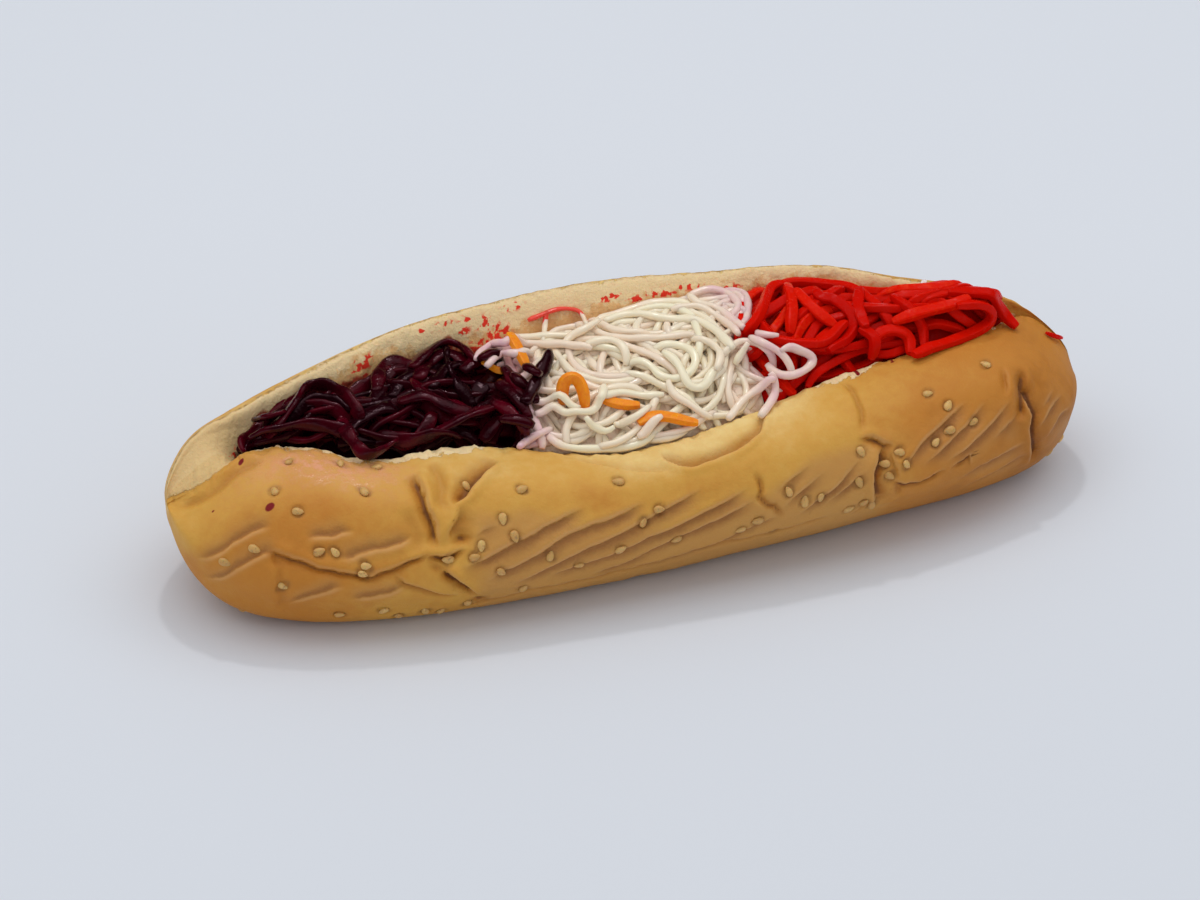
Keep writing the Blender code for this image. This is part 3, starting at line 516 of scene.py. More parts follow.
def crust_relief(x, s, steep):
    """Height of the crust's relief, and for each set of lines how far the nearest one is, on its low
    side or (minus) its high side, and how plain it is there, which sets the strength of the painted shade
    below it and the painted highlight above it."""
    ribs = [(line, RIB_DEPTH, RIB_WIDTH, RIB_PLAIN, 1) for line in RIBS]
    ribs += [(line, SOFT_DEPTH, SOFT_WIDTH, SOFT_PLAIN, 1) for line in SOFT_RIBS]
    sets = {name: ribs[k::len(RIB_SETS)] for k, name in enumerate(RIB_SETS)}
    sets.update({name: CREASES[k::len(FOLD_SETS)] for k, name in enumerate(FOLD_SETS)})
    height = sum(tall * lumps(x, s, size, setting) for tall, size, setting in SOFT_LUMPS)
    wobble = WOBBLE * lumps(x, s, 3.5, 13)
    said = {}
    for name, rows in sets.items():
        near = np.full(x.shape, 9.0)
        second = near.copy()
        plain = np.zeros(x.shape)
        for line, depth, width, dark, side in rows:
            sway = wobble * (RIB_WOBBLE if name in RIB_SETS else 1.0)
            apart, turned, from_end = line_place(x + sway, s + sway, line)
            fade = ease(from_end / (RIB_END if depth == RIB_DEPTH else CREASE_END))
            down = apart if side == 0 else apart * turned * side
            scaled = np.where(down > 0, down / width, down)
            low = np.where(down > 0, np.exp(-np.maximum(scaled, 0) ** 1.3), np.exp(-(down / steep) ** 2))
            lip = np.exp(-((down - 2.2 * width if side == 0 else down + 1.4) / LIP_WIDTH) ** 2)
            height += depth * fade * (LIP * lip - low)
            nearer = abs(scaled) < abs(near)
            second = np.where(nearer, near, np.where(abs(scaled) < abs(second), scaled, second))
            near = np.where(nearer, scaled, near)
            plain = np.where(nearer, dark * fade, plain)
        # Between two lines that drop towards each other neither is plain.
        between = (near * second < 0) & (abs(near) > 0.7)
        plain *= np.where(between, ease((abs(second) - abs(near) - 0.6) / 1.2), 1)
        said[name], said[name + "_plain"] = near, plain * ease(3.4 - abs(near))
    said["dull"] = ease((s + 2 * lumps(x, s, 7, 19) - DULL_FROM) / 5)
    said["dull"] *= ease((x - DULL_ENDS[0]) / 8) * (1 - 0.8 * ease((x - DULL_ENDS[1]) / 12))
    folds = 1 - 2 * abs(lumps(x + wobble, s, 6.5, 17))
    folds += 0.6 * (1 - 2 * abs(lumps(x, s - wobble, 3.6, 18)))
    height += CRUMPLE_DEPTH * crumple(x, s) * folds
    return height * ease((HALF - 1 - abs(x)) / 6), said


def seed_pits(x, s):
    """The rings round the seeds of the near side, from 0 to 1."""
    nearest = np.full(x.shape, 9.0)
    for seed_x, seed_s in SEED_PLACES:
        nearest = np.minimum(nearest, np.hypot(x - seed_x, s - seed_s))
    return np.exp(-((nearest - PIT_REACH) / PIT_WIDTH) ** 2)


def roll_grid():
    """Points of the roll's surface in one flat ring for each station along X, and what lies where."""
    turn = np.linspace(-1, 1, STATIONS + 1)
    xs = HALF * LAST_STATION * ((1 - END_SHARE) * turn + END_SHARE * np.sin(turn * math.pi / 2))
    rings = np.array([outline(x) for x in xs])
    along = np.roll(rings, -1, 1) - np.roll(rings, 1, 1)
    out = np.stack((along[..., 1], -along[..., 0]), -1)
    out /= np.linalg.norm(out, axis=2, keepdims=True) + 1e-9
    steps = np.linalg.norm(np.roll(rings, -1, 1) - rings, axis=2)
    run = np.cumsum(steps, 1) - steps
    whole = steps.sum(1, keepdims=True)
    rim = sum(SPAN_CUTS[:BACK_RIM_SPAN])
    to_back = run[:, rim:rim + 1] - run
    crust = np.arange(rings.shape[1])[None] < rim
    down = np.where(crust, np.minimum(run, abs(to_back)), 0)
    inside = np.where(crust, -down, np.minimum(-to_back, whole - run))
    far_side = (run > abs(to_back)) & (whole - run > abs(to_back))
    x = np.broadcast_to(xs[:, None], down.shape)
    mirrored = np.where(far_side, -x, x)
    height, creased = crust_relief(mirrored, down, np.where(far_side, FAR_STEEP, LEDGE_STEEP))
    pits = seed_pits(x, down) * crust * ~far_side
    height = height - PIT_DEPTH * pits
    rough = 0.30 * lumps(x, run, 2.4, 21) + 0.22 * lumps(x, run, 1.1, 22)
    torn = ease((inside + 2.5) / 2.5) * ease((108 - x) / 10)
    smooth_band = far_side * ease((smooth_curve(TOAST_LINE, x) - inside) / 1.5)
    rough *= torn * (1 - 0.75 * smooth_band)
    crumbling = ease(smooth_curve(TORN_OVER, x) / 1.5) * ~far_side
    ragged = (0.45 + 0.45 * crumbling) * lumps(x, 0 * x, 1.6, 23)
    ragged += 0.5 * crumbling * lumps(x, inside, 1.2, 24)
    ragged *= np.exp(-(inside / 1.5) ** 2) * (1 - 0.5 * far_side)
    lift = np.where(crust, height, 0) + rough + ragged * ease((HALF - 4 - abs(x)) / 8)
    rings = rings + out * lift[..., None]
    rings[..., 0] = np.clip(rings[..., 0], cad_low[1] / MM + EDGE_ROOM, cad_high[1] / MM - EDGE_ROOM)
    rings[..., 1] = np.clip(rings[..., 1], 0, cad_high[2] / MM - EDGE_ROOM)
    grid = np.concatenate((x[..., None], rings), 2)
    creased["pit"] = pits
    return grid, {"x": x, "down": down, "inside": inside, "far": far_side * 1.0, "run": run}, creased


def loft(rings):
    """Vertices and faces of a closed skin over rings with like numbers of points."""
    rows, count, _ = rings.shape
    vertices = np.concatenate((rings.reshape(-1, 3), rings[0].mean(0)[None], rings[-1].mean(0)[None]))
    i, j = np.mgrid[0:rows - 1, 0:count]
    k = (j + 1) % count
    sides = np.stack((i * count + k, (i + 1) * count + k, (i + 1) * count + j, i * count + j), -1)
    first, last, base = rows * count, rows * count + 1, (rows - 1) * count
    faces = sides.reshape(-1, 4).tolist()
    for j in range(count):
        k = (j + 1) % count
        faces.append((first, k, j))
        faces.append((last, base + j, base + k))
    return vertices, faces


def add_piece(name, vertices, faces, marks=None):
    """A smooth mesh object from points in millimetres, with marks that its finish reads."""
    mesh = bpy.data.meshes.new(name)
    mesh.from_pydata((np.asarray(vertices) * MM).tolist(), [], faces)
    mesh.shade_smooth()
    for mark, values in (marks or {}).items():
        attribute = mesh.attributes.new(mark, "FLOAT", "POINT")
        full = np.zeros(len(vertices), np.float32)
        full[:np.size(values)] = np.ravel(values)
        attribute.data.foreach_set("value", full)
    piece = bpy.data.objects.new(name, mesh)
    bpy.context.scene.collection.objects.link(piece)
    return piece


def bake_of(places):
    """How brown the crust is: pale along the rims, most so at the near rim's middle, and browner low
    down and at the ends."""
    x, down = places["x"], places["down"]
    pale_rim = np.exp(-((x - 8) / 40) ** 2) * np.exp(-(down / 9.0) ** 2) * (1 - places["far"])
    over_ribs = np.exp(-((down - 15) / 4.5) ** 2) * np.exp(-((x + 8) / 30) ** 2)
    bake = 0.31 + 0.09 * ease((down - 10) / 16) - 0.33 * pale_rim + 0.16 * over_ribs
    bake += 0.33 * ease((x - 36) / 36) + 0.12 * ease((x - 86) / 14)
    bake += 0.28 * ease((-x - 58) / 30) * (0.35 + 0.65 * ease((down - 8) / 14))
    pale_far = places["far"] * np.exp(-(down / 5) ** 2)
    return bake - 0.25 * pale_far + 0.07 * lumps(x, down, 24, 31)


def stain(places, centre, reach):
    """A soft round patch at a distance down from the near rim, or down the far cut face."""
    from_rim = np.where(places["far"] > 0, places["inside"], places["down"])
    along, across = (places["x"] - centre[0]) / reach[0], (from_rim - centre[1]) / reach[1]
    return np.exp(-along ** 2 - across ** 2)


def bread_marks(places):
    """What the bread's finish reads at each point: how brown the crust is, where it gives way to
    crumb, where that is rough or dry, and where the filling has stained it."""
    x, inside, far = places["x"], places["inside"], places["far"]
    near = 1 - far
    over_far = 0.9 - 6.0 * ease((x - 96) / 8)
    over_near = smooth_curve(TORN_OVER, x) - 0.6
    toast_far = inside - smooth_curve(TOAST_LINE, x)
    toast_near = inside - 4 - 30 * ease((-84 - x) / 8)
    splashes = np.max([stain(places, *splash) for splash in SPLASHES], 0)
    by_carrot = DYED * ease((x - DYED_FROM) / 8) * ease((inside - DYED_DOWN) / 2)
    soaked = ease((inside - smooth_curve(SOAKED_LINE, x) + 1.8) / 2.6)
    return {
        "bake": bake_of(places),
        "crumb": inside + np.where(far > 0, over_far, over_near),
        "toast": np.where(far > 0, toast_far, toast_near),
        "torn": ease((x + 96) / 10),
        "face": ease((-86 - x) / 12) * (0.75 + 0.25 * near),
        "rim_line": far * np.exp(-((inside + 0.9) / 0.6) ** 2),
        "juice": near * np.maximum(stain(places, *JUICE), FAINTER * stain(places, *FAINT_JUICE)),
        "red_stain": far * np.maximum(splashes, by_carrot),
        "soaked": far * soaked * ease((x - SOAKED_FROM) / 3) * ease((SOAKED_TO - x) / 4),
        "specks": near * np.max([stain(places, *speck) for speck in SPECKS], 0)}


grid, places, creased = roll_grid()
roll = add_piece("roll", *loft(grid), {**bread_marks(places), **creased})

# The crust from pale to brown, the painted shade below its ribs and creases and round its seeds' pits,
# the painted highlight on their lips, the crumb with painted shade in its pores, and stains.
PALE_CRUST = (0.89, 0.655, 0.265)
YELLOW_CRUST = (0.70, 0.365, 0.062)
GOLDEN_CRUST = (0.58, 0.222, 0.026)
BROWN_CRUST = (0.38, 0.120, 0.007)
RIB_DULL = (0.57, 0.275, 0.076)
RIB_LIP_HIGHLIGHT = (0.76, 0.42, 0.17)
RIB_SHADE = (0.33, 0.125, 0.034)
FOLD_PAINTED_SHADE = (0.42, 0.140, 0.012)
TEAR_PAINTED_SHADE = (0.17, 0.055, 0.014)
PIT_PAINTED_SHADE = (0.24, 0.10, 0.025)
RIM_BROWN = (0.42, 0.22, 0.06)
CREAM_CRUMB = (0.95, 0.71, 0.39)
TOASTED_CRUMB = (0.86, 0.52, 0.22)
JUICE_PINK = (0.82, 0.38, 0.23)
STAIN_RED = (0.88, 0.045, 0.020)
SOAKED_RED = (0.36, 0.040, 0.018)
SPECK_RED = (0.24, 0.004, 0.006)
FACE_TAN = (0.78, 0.53, 0.235)
PORE_PAINTED_SHADE = (0.60, 0.34, 0.15)
RIB_REACH = 1.25             # how far the painted shade below a rib reaches, in its widths
FOLD_REACH = 2.0
LEDGE_FADE = 1.7             # higher makes that painted shade fade sooner


def most(tones):
    """The greatest of some values."""
    top = tones[0]
    for tone in tones[1:]:
        top = top.maths("MAXIMUM", tone)
    return top


def ledges(names, reach):
    """For some sets of lines, how strong the painted shade below their ledges is, which starts at once at
    the edge and fades away from it, and how strong the painted highlight on the narrow band on their high
    side is."""
    below, above = [], []
    for name in names:
        away, plain = finish.mark(name) + noise, finish.mark(name + "_plain")
        fade = away.spread(0.0, reach, 1.0, 0.0).maths("POWER", LEDGE_FADE)
        below.append(away.spread(-0.5, 0.05) * fade * plain)
        above.append(away.spread(-1.5, -0.6) * away.spread(-0.55, -0.15, 1.0, 0.0) * plain)
    return most(below), most(above)


finish = Finish("bread", specular_ior_level=0.28, subsurface_weight=0.12, subsurface_scale=0.002,
                subsurface_radius=(1.0, 0.5, 0.25))
cloudy, mottled, fine = finish.grain(14.0), finish.grain(2.4, 4.0, 0.6), finish.grain(0.5)
noise = mottled.between(-0.12, 0.12)
browned = finish.mark("bake") + (cloudy.between(-0.06, 0.06) + mottled.between(-0.035, 0.035))
crust = browned.spread(-0.12, 0.36).blend(PALE_CRUST, YELLOW_CRUST)
crust = browned.spread(0.28, 0.70).blend(crust, GOLDEN_CRUST)
crust = browned.spread(0.66, 1.05).blend(crust, BROWN_CRUST)
below_rib, rib_lip = ledges(RIB_SETS, RIB_REACH)
below_fold, fold_lip = ledges(FOLD_SETS, FOLD_REACH)
rib_zone = most([finish.mark(name).maths("ABSOLUTE").spread(0.6, 2.2, 1.0, 0.0)
                 * finish.mark(name + "_plain") for name in RIB_SETS])
crust = most((rib_zone * 0.5, finish.mark("dull") * 0.7)).blend(crust, RIB_DULL)
# Painted highlight on the narrow lips above the edges of ribs and creases.
crust = (most((rib_lip, fold_lip)) * 0.40).blend(crust, RIB_LIP_HIGHLIGHT)
# Painted shade below the edges of the ribs, dark at once at the edge and fading away down the crust.
crust = (below_rib * 0.8).blend(crust, RIB_SHADE)
# Painted shade on the low side of the creases, where the crust folds under.
crust = below_fold.blend(crust, FOLD_PAINTED_SHADE)
# Darker painted shade where the crease shade is deepest, inside tears and tight folds.
deep_fold_shade = below_fold + mottled.between(-0.06, 0.06)
crust = deep_fold_shade.spread(0.52, 0.90, 0.0, 0.9).blend(crust, TEAR_PAINTED_SHADE)
# Painted shade in the ring round each seed, where it sits in its pit.
crust = (finish.mark("pit") * mottled.between(0.3, 0.8)).blend(crust, PIT_PAINTED_SHADE)
ragged = mottled.between(-1.1, 1.1) * finish.mark("torn")
is_crumb = (finish.mark("crumb") + ragged + fine.between(-0.25, 0.25)).spread(-0.15, 0.35)
toasted = (finish.mark("toast") + mottled.between(-1.6, 1.6)).spread(-0.6, 1.4)
crumb_colour = toasted.blend(CREAM_CRUMB, TOASTED_CRUMB)
crumb_colour = finish.mark("face").blend(crumb_colour, FACE_TAN)
# Painted shade in the crumb's pores, stronger where the crumb is toasted.
pores = finish.grain(0.8, 3.0).spread(0.56, 0.70) * (toasted * 0.35 + 0.08)
crumb_colour = pores.blend(crumb_colour, PORE_PAINTED_SHADE)
bread = is_crumb.blend(crust, crumb_colour)
bread = (finish.mark("juice") * mottled.spread(0.38, 0.62, 0.30, 0.90)).blend(bread, JUICE_PINK)
splashed = finish.mark("red_stain") + finish.grain(1.5).spread(0.36, 0.62, -1.15, 0.0)
bread = (splashed.spread(-0.04, 0.34) * is_crumb).blend(bread, STAIN_RED)
soaking = finish.mark("soaked") + mottled.between(-0.35, 0.35)
bread = (soaking.spread(0.25, 1.05) * is_crumb).blend(bread, SOAKED_RED)
bread = finish.mark("specks").spread(0.35, 0.6).blend(bread, SPECK_RED)
rim_line = finish.mark("rim_line") * finish.grain(1.2, 3.0).spread(0.40, 0.62, 0.25, 1.0)
finish.show("Base Color", rim_line.blend(bread, RIM_BROWN))
wet = (finish.mark("juice") + mottled.spread(0.35, 0.65, -0.5, 0.2)).spread(0.1, 0.6)
finish.show("Roughness", is_crumb.spread(0.0, 1.0, 0.58, 0.92) - wet * 0.4)
spongy = finish.grain(0.9, 4.0, 0.7) * (is_crumb * 0.5)
finish.bump(mottled * 0.20 + fine * 0.08 + spongy - below_rib * 0.3 - below_fold * 0.55, 1.0)
roll.data.materials.append(finish.material)
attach(roll, "root")
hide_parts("roll")


# ---------------------------------------------------------------- sesame seeds
# Hulled sesame seeds, flat teardrops about 3 mm long, pressed into the crust before baking.
# They lie scattered over the sides and the ends, few near the rims, each half sunk or nearly so.

SEED_LENGTH = 3.1
SEED_WIDTH = 2.0
SEED_THICKNESS = 1.3
SEED_SPACING = 2.9           # no two lie closer than this
FAR_SEEDS = 34
END_SEEDS = 10
SEED_SETTING = 7
SEED_TILT = 0.16
SEED_SIZES = (0.82, 1.0)
SEED_LIFTS = (-0.35, 0.05)   # of its middle over the crust
SEED_CREAM = (0.74, 0.46, 0.15)
SEED_TAN = (0.60, 0.33, 0.09)
SEED_SPECKLE = (0.45, 0.25, 0.09)


def crust_place(x, down, side):
    """Point and frame on the crust, a distance down from its near (1) or far (-1) rim."""
    xs = grid[:, 0, 0]
    rim = sum(SPAN_CUTS[:BACK_RIM_SPAN])

    def point_at(where, far):
        i, t = station(xs, where)
        ring = grid[i] + (grid[i + 1] - grid[i]) * t
        length = places["run"][i] + (places["run"][i + 1] - places["run"][i]) * t
        if side > 0:
            ring, length = ring[:rim + 1], length[:rim + 1]
        else:
            ring, length = ring[rim::-1], length[rim] - length[rim::-1]
        return np.array([np.interp(far, length, ring[:, axis]) for axis in range(3)])

    near_by = 1.2
    point = point_at(x, down)
    along = point_at(x + near_by, down) - point_at(x - near_by, down)
    across = point_at(x, down + near_by) - point_at(x, down - near_by)
    out = np.cross(across, along) * side
    return point, along / np.linalg.norm(along), out / np.linalg.norm(out)


def seed_skin():
    """Points and faces of one seed, a flat teardrop with its tip towards +X."""
    rows, count = 9, 12
    rings = []
    for k in range(1, rows):
        angle = math.pi * k / rows
        x = -math.cos(angle)
        fat = math.sin(angle) * (1 - 0.33 * x) ** 0.9
        turn = np.arange(count) * math.tau / count
        rings.append(np.column_stack((np.full(count, x * SEED_LENGTH / 2),
                                      fat * np.cos(turn) * SEED_WIDTH / 2,
                                      fat * np.sin(turn) * SEED_THICKNESS / 2)))
    vertices, faces = loft(np.array(rings))
    vertices[-2, 0], vertices[-1, 0] = -SEED_LENGTH / 2, SEED_LENGTH / 2
    return vertices, faces


def join(skins):
    """One set of vertices and faces from many."""
    vertices, faces, base = [], [], 0
    for points, sides in skins:
        vertices.append(points)
        faces.extend([tuple(v + base for v in face) for face in sides])
        base += len(points)
    return np.concatenate(vertices), faces


rng = random.Random(SEED_SETTING)
spots = [(x, down, 1) for x, down in SEED_PLACES]
wanted = len(spots) + FAR_SEEDS + END_SEEDS
while len(spots) < wanted:
    to_end = len(spots) >= wanted - END_SEEDS
    x = rng.choice((-1, 1)) * rng.uniform(96, 108) if to_end else rng.uniform(-98, 98)
    spot = (x, rng.uniform(8, 50), rng.choice((-1, 1)) if to_end else -1)
    if all(math.dist(spot[:2], other[:2]) > SEED_SPACING for other in spots if other[2] == spot[2]):
        spots.append(spot)
shape, sides = seed_skin()
seeds, tones = [], []
for x, down, side in spots:
    point, along, out = crust_place(x, down, side)
    turn = rng.uniform(0, math.tau)
    flat_way = along * math.cos(turn) + np.cross(out, along) * math.sin(turn)
    tilt = rng.uniform(-SEED_TILT, SEED_TILT)
    long_way = flat_way * math.cos(tilt) + out * math.sin(tilt)
    up = out * math.cos(tilt) - flat_way * math.sin(tilt)
    size = rng.uniform(*SEED_SIZES)
    turned = (shape[:, :1] * long_way + shape[:, 1:2] * np.cross(up, long_way) + shape[:, 2:] * up) * size
    seed = turned + point + out * rng.uniform(*SEED_LIFTS)
    seed[:, 1] = np.clip(seed[:, 1], cad_low[1] / MM, cad_high[1] / MM)
    seeds.append((seed, sides))
    tones.append(np.full(len(shape), rng.random()))
sesame = add_piece("sesame_seeds", *join(seeds), {"tone": np.concatenate(tones)})
finish = Finish("sesame", roughness=0.42, subsurface_weight=0.2, subsurface_scale=0.001)
speckle = finish.grain(0.7)
seed_colour = finish.mark("tone").blend(SEED_CREAM, SEED_TAN)
finish.show("Base Color", speckle.spread(0.55, 0.75).blend(seed_colour, SEED_SPECKLE))
finish.bump(speckle, 0.08)
sesame.data.materials.append(finish.material)
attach(sesame, "root")


# ---------------------------------------------------------------- beet
# Raw beet cut into flat strips about 4 mm wide, soft and wet with their own dark juice.
# They lie matted together in the left third of the slit, heaped up to the near rim.

BEET_FROM, BEET_TO = -95.5, -28.0
BEET_STRIPS = 84
BEET_LOOSE = 12
BEET_SETTING = 3
# Strips that stand out, as pixels of the view, some with a height above the heap.
BEET_SEEN = (
    ((285, 414), (296, 400), (308, 391), (322, 389), (336, 394), (348, 404)),
    ((280, 424), (298, 410), (316, 401), (334, 403), (350, 412)),
    ((372, 402), (384, 384), (392, 371), (404, 369), (416, 376)),
    ((392, 398), (402, 381), (414, 374), (428, 372)),
    ((418, 380), (430, 363), (444, 353), (458, 357), (470, 368)),
    ((430, 388), (446, 369), (462, 364), (474, 374)),
    ((462, 372), (474, 362, 1), (486, 357, 1.5), (496, 350, 1.5), (505, 346, 2)),
    ((264, 440), (280, 422, 0.5), (292, 406, 0.8), (304, 390, 0.8), (320, 383, 1), (339, 391, 0.8),
     (352, 404, 0.5), (362, 420)),
    ((256, 420, 1), (270, 416, 1), (285, 412)),
    ((250, 439), (275, 430, 0.5), (304, 424, 0.8), (335, 428, 0.8), (357, 438)),
    ((340, 420), (352, 440, 1), (366, 455, 1.5), (382, 450, 1), (396, 440)),
    ((376, 392), (381, 369, 0.8), (393, 361, 0.8), (412, 366)),
    ((412, 368), (428, 351, 0.8), (446, 341, 1.2), (464, 348, 1), (478, 364)),
    ((398, 402), (425, 395, 1), (450, 408, 1), (474, 414)),
    ((436, 432), (466, 416, 1), (497, 405, 1), (522, 398)))
# The filling: how far its surface lies below the far rim, and how high it is heaped.
FILL_DROP = ((-104, 9), (-90, 7), (-77, 4.6), (-66, 5.5), (-60, 7.5), (-52, 6), (-31, 8), (-15, 8.5),
             (8, 6.8), (24, 4.8), (52, 4), (70, 3.8), (86, 2), (104, 3))
FILL_HEAP = ((-104, 2), (-80, 4), (-40, 4), (0, 4.5), (45, 5.4), (70, 6.8), (86, 9), (96, 5),
             (104, 1))
FRONT_DROP = 1.2             # the filling starts this far below the near rim,
FRONT_INSET = 1.5            # this far behind it,
BACK_INSET = 4               # and this far before the far rim
HEAP_OVER = 2.2              # a shred's middle lies at most this far above that surface
TOP_ROOM = 1.9               # and at least this far below the top of the roll's far rim,
SOFT_TOP = 4                 # to which it rises more and more slowly over this much
END_DIVE = 2.2               # a shred's ends go down into the heap by this much,
DIVE_RUN = 2.5               # over about this much of their length
CORE_DEPTH = 6.5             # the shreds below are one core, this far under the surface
CORE_GAP = 0.25              # between the core and the slit's wall
CORE_SHARE = 0.6             # where the slit is shallow the core fills this share less of it
CELL = 0.5                   # of the field of heights that the shreds are laid on
FIELD_X, FIELD_Y = 118.0, 44.0   # how far the field reaches each way
NOTHING = -50.0              # its height where nothing lies yet
NO_ROOM = -99.0              # how high a shred may reach where none may lie
CORE_STEP = 1.5
CORE_CUTS = (24, 34)         # points round a core's section, along the wall and over the top
CORE_LUMPS = (0.5, 3.0, 41)  # height, size and random setting
LOOK_AHEAD = 3.5             # a shred turns away this far before it runs out of room
LOOK_ASIDE = 0.9             # radians to the left, to see which way is free
SHARPEST = 0.22              # and then bends by at least this much each millimetre
BEND_CHANGE = 0.22           # how fast its bend may change, as a share of its sharpest one
OWN_GAP, OWN_RUN = 3.2, 7    # it stays this far from its own run of more than so many steps ago
SHORTEST = 0.5               # one that comes out shorter than this share of its length isn't laid
START_PICKS = 10             # places that are tried for a shred's start
SHRED_LENGTHS = (0.55, 1.15)     # from shortest to longest, as shares of its kind's length
SHRED_WIDTHS = (0.88, 1.08)
SHRED_TIP = 0.75             # how thick a shred still is near its cut ends
KEPT_LIFT = 0.5              # a shred seen more than this above the heap keeps its own height
SIGHT_HEIGHTS = (66.0, 8.0, -0.2)    # from where, to where and how finely a line of sight is followed


def fill_height(x, y):
    """Height of the filling's surface at (x, y)."""
    front_y = smooth_curve(FRONT_RIM_Y, x) + FRONT_INSET
    front_z = smooth_curve(FRONT_RIM_Z, x) - FRONT_DROP
    back_y = smooth_curve(BACK_RIM_Y, x) - BACK_INSET
    back_z = smooth_curve(BACK_RIM_Z, x) - smooth_curve(FILL_DROP, x)
    t = np.clip((y - front_y) / (back_y - front_y), 0, 1)
    return front_z + (back_z - front_z) * t + smooth_curve(FILL_HEAP, x) * 4 * t * (1 - t)


def core_rings(x_from, x_to, depth):
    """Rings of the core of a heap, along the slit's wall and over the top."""
    xs = grid[:, 0, 0]
    rim = sum(SPAN_CUTS[:BACK_RIM_SPAN])
    rings = []
    for x in np.linspace(x_from, x_to, int((x_to - x_from) / CORE_STEP)):
        i, _ = station(xs, x)
        wall = np.concatenate((grid[i, rim:], grid[i, :1]))[:, 1:]
        along = np.gradient(wall, axis=0)
        inward = np.column_stack((along[:, 1], -along[:, 0]))
        inward /= np.linalg.norm(inward, axis=1, keepdims=True)
        inward *= np.sign(((wall.mean(0) - wall) * inward).sum(1, keepdims=True))
        under = wall + inward * CORE_GAP
        sunk = min(depth, CORE_SHARE * (fill_height(x, under[:, 0]) - under[:, 1]).max())
        under = under[under[:, 1] < fill_height(x, under[:, 0]) - sunk]
        length = np.concatenate(((0,), np.cumsum(np.linalg.norm(np.diff(under, axis=0), axis=1))))
        cuts = np.linspace(0, length[-1], CORE_CUTS[0])
        lower = np.column_stack([np.interp(cuts, length, under[:, k]) for k in (0, 1)])
        across = np.linspace(lower[-1, 0], lower[0, 0], CORE_CUTS[1])[1:-1]
        bumps = CORE_LUMPS[0] * lumps(x, across, *CORE_LUMPS[1:])
        upper = np.column_stack((across, fill_height(x, across) - sunk + bumps))
        ring = np.concatenate((lower, upper))[::-1]
        rings.append(np.column_stack((np.full(len(ring), x), ring)))
    return np.array(rings)


def cells(x, y):
    """The field's cell at each place."""
    i = np.clip(np.rint((np.asarray(x) + FIELD_X) / CELL).astype(int), 0, field_shape[0] - 1)
    j = np.clip(np.rint((np.asarray(y) + FIELD_Y) / CELL).astype(int), 0, field_shape[1] - 1)
    return i, j


def field_of(rings):
    """Field of heights over a skin of rings."""
    field = np.full(field_shape, NOTHING)
    closed = np.concatenate((rings, rings[:, :1]), 1)
    fine = np.linspace(0, closed.shape[1] - 1, closed.shape[1] * 5)
    low = np.minimum(fine.astype(int), closed.shape[1] - 2)
    dense = closed[:, low] + (closed[:, low + 1] - closed[:, low]) * (fine - low)[None, :, None]
    xs = rings[:, 0, 0]
    for x in np.arange(xs[0], xs[-1], CELL / 2):
        i, t = station(xs, x)
        points = dense[i] + (dense[i + 1] - dense[i]) * t
        np.maximum.at(field, cells(points[:, 0], points[:, 1]), points[:, 2])
    return field


def footprint(width, thickness):
    """Cells under a shred's section, and how far its rounded top rises over each."""
    reach = int(width / 2 / CELL) + 1
    i, j = np.mgrid[-reach:reach + 1, -reach:reach + 1]
    square = 1 - (i ** 2 + j ** 2) * CELL ** 2 / (width / 2) ** 2
    under = square > 0
    lifts = np.sqrt(square[under]) * thickness / 2
    return list(zip(i[under].tolist(), j[under].tolist(), lifts.tolist()))


def resting(field, stamp):
    """Height of a shred's middle where it would rest on the field, at every cell."""
    best = np.full_like(field, NOTHING)
    for i, j, lift in stamp:
        best = np.maximum(best, np.roll(field, (-i, -j), (0, 1)) + lift)
    return best


def wander(rng, room, start, heading, length, curl):
    """A winding way that stays where there is room and never meets itself, or None."""
    def free(x, y):
        i, j = int((x + FIELD_X) / CELL + 0.5), int((y + FIELD_Y) / CELL + 0.5)
        return 0 <= i < field_shape[0] and 0 <= j < field_shape[1] and room[i, j] > 0

    def free_ahead(turn):
        return free(x + LOOK_AHEAD * math.cos(heading + turn), y + LOOK_AHEAD * math.sin(heading + turn))

    x, y = start
    bend = rng.uniform(-curl, curl)
    way = [(x, y)]
    while len(way) < length:
        bend = max(-curl, min(curl, bend + rng.gauss(0, curl * BEND_CHANGE)))
        if not free_ahead(0):
            bend = max(curl, SHARPEST) * (1 if free_ahead(LOOK_ASIDE) or bend > 0 else -1)
        heading += bend
        x, y = x + math.cos(heading), y + math.sin(heading)
        if not free(x, y):
            break
        way.append((x, y))
    way = np.array(way)
    apart = np.linalg.norm(way[:, None] - way[None], axis=2)
    steps = abs(np.subtract.outer(np.arange(len(way)), np.arange(len(way))))
    meets = bool(((apart < OWN_GAP) & (steps > OWN_RUN)).any())
    return None if meets or len(way) < SHORTEST * length else way


def drape(way, rest, slack):
    """Heights along a way for a shred that bridges the dips and bears on the high spots."""
    low = rest[cells(way[:, 0], way[:, 1])]
    height = low.copy()
    for _ in range(slack):
        padded = np.pad(height, 1, mode="edge")
        height = np.maximum(low, (padded[:-2] + padded[2:]) / 2)
    for _ in range(3):
        padded = np.pad(height, 1, mode="edge")
        height = (padded[:-2] + 2 * height + padded[2:]) / 4
    return height


def dive(points):
    """Lower both ends of a shred into the heap."""
    from_end = np.minimum(np.arange(len(points)), np.arange(len(points))[::-1])
    points[:, 2] -= END_DIVE * np.exp(-(from_end / DIVE_RUN) ** 2)
    return points


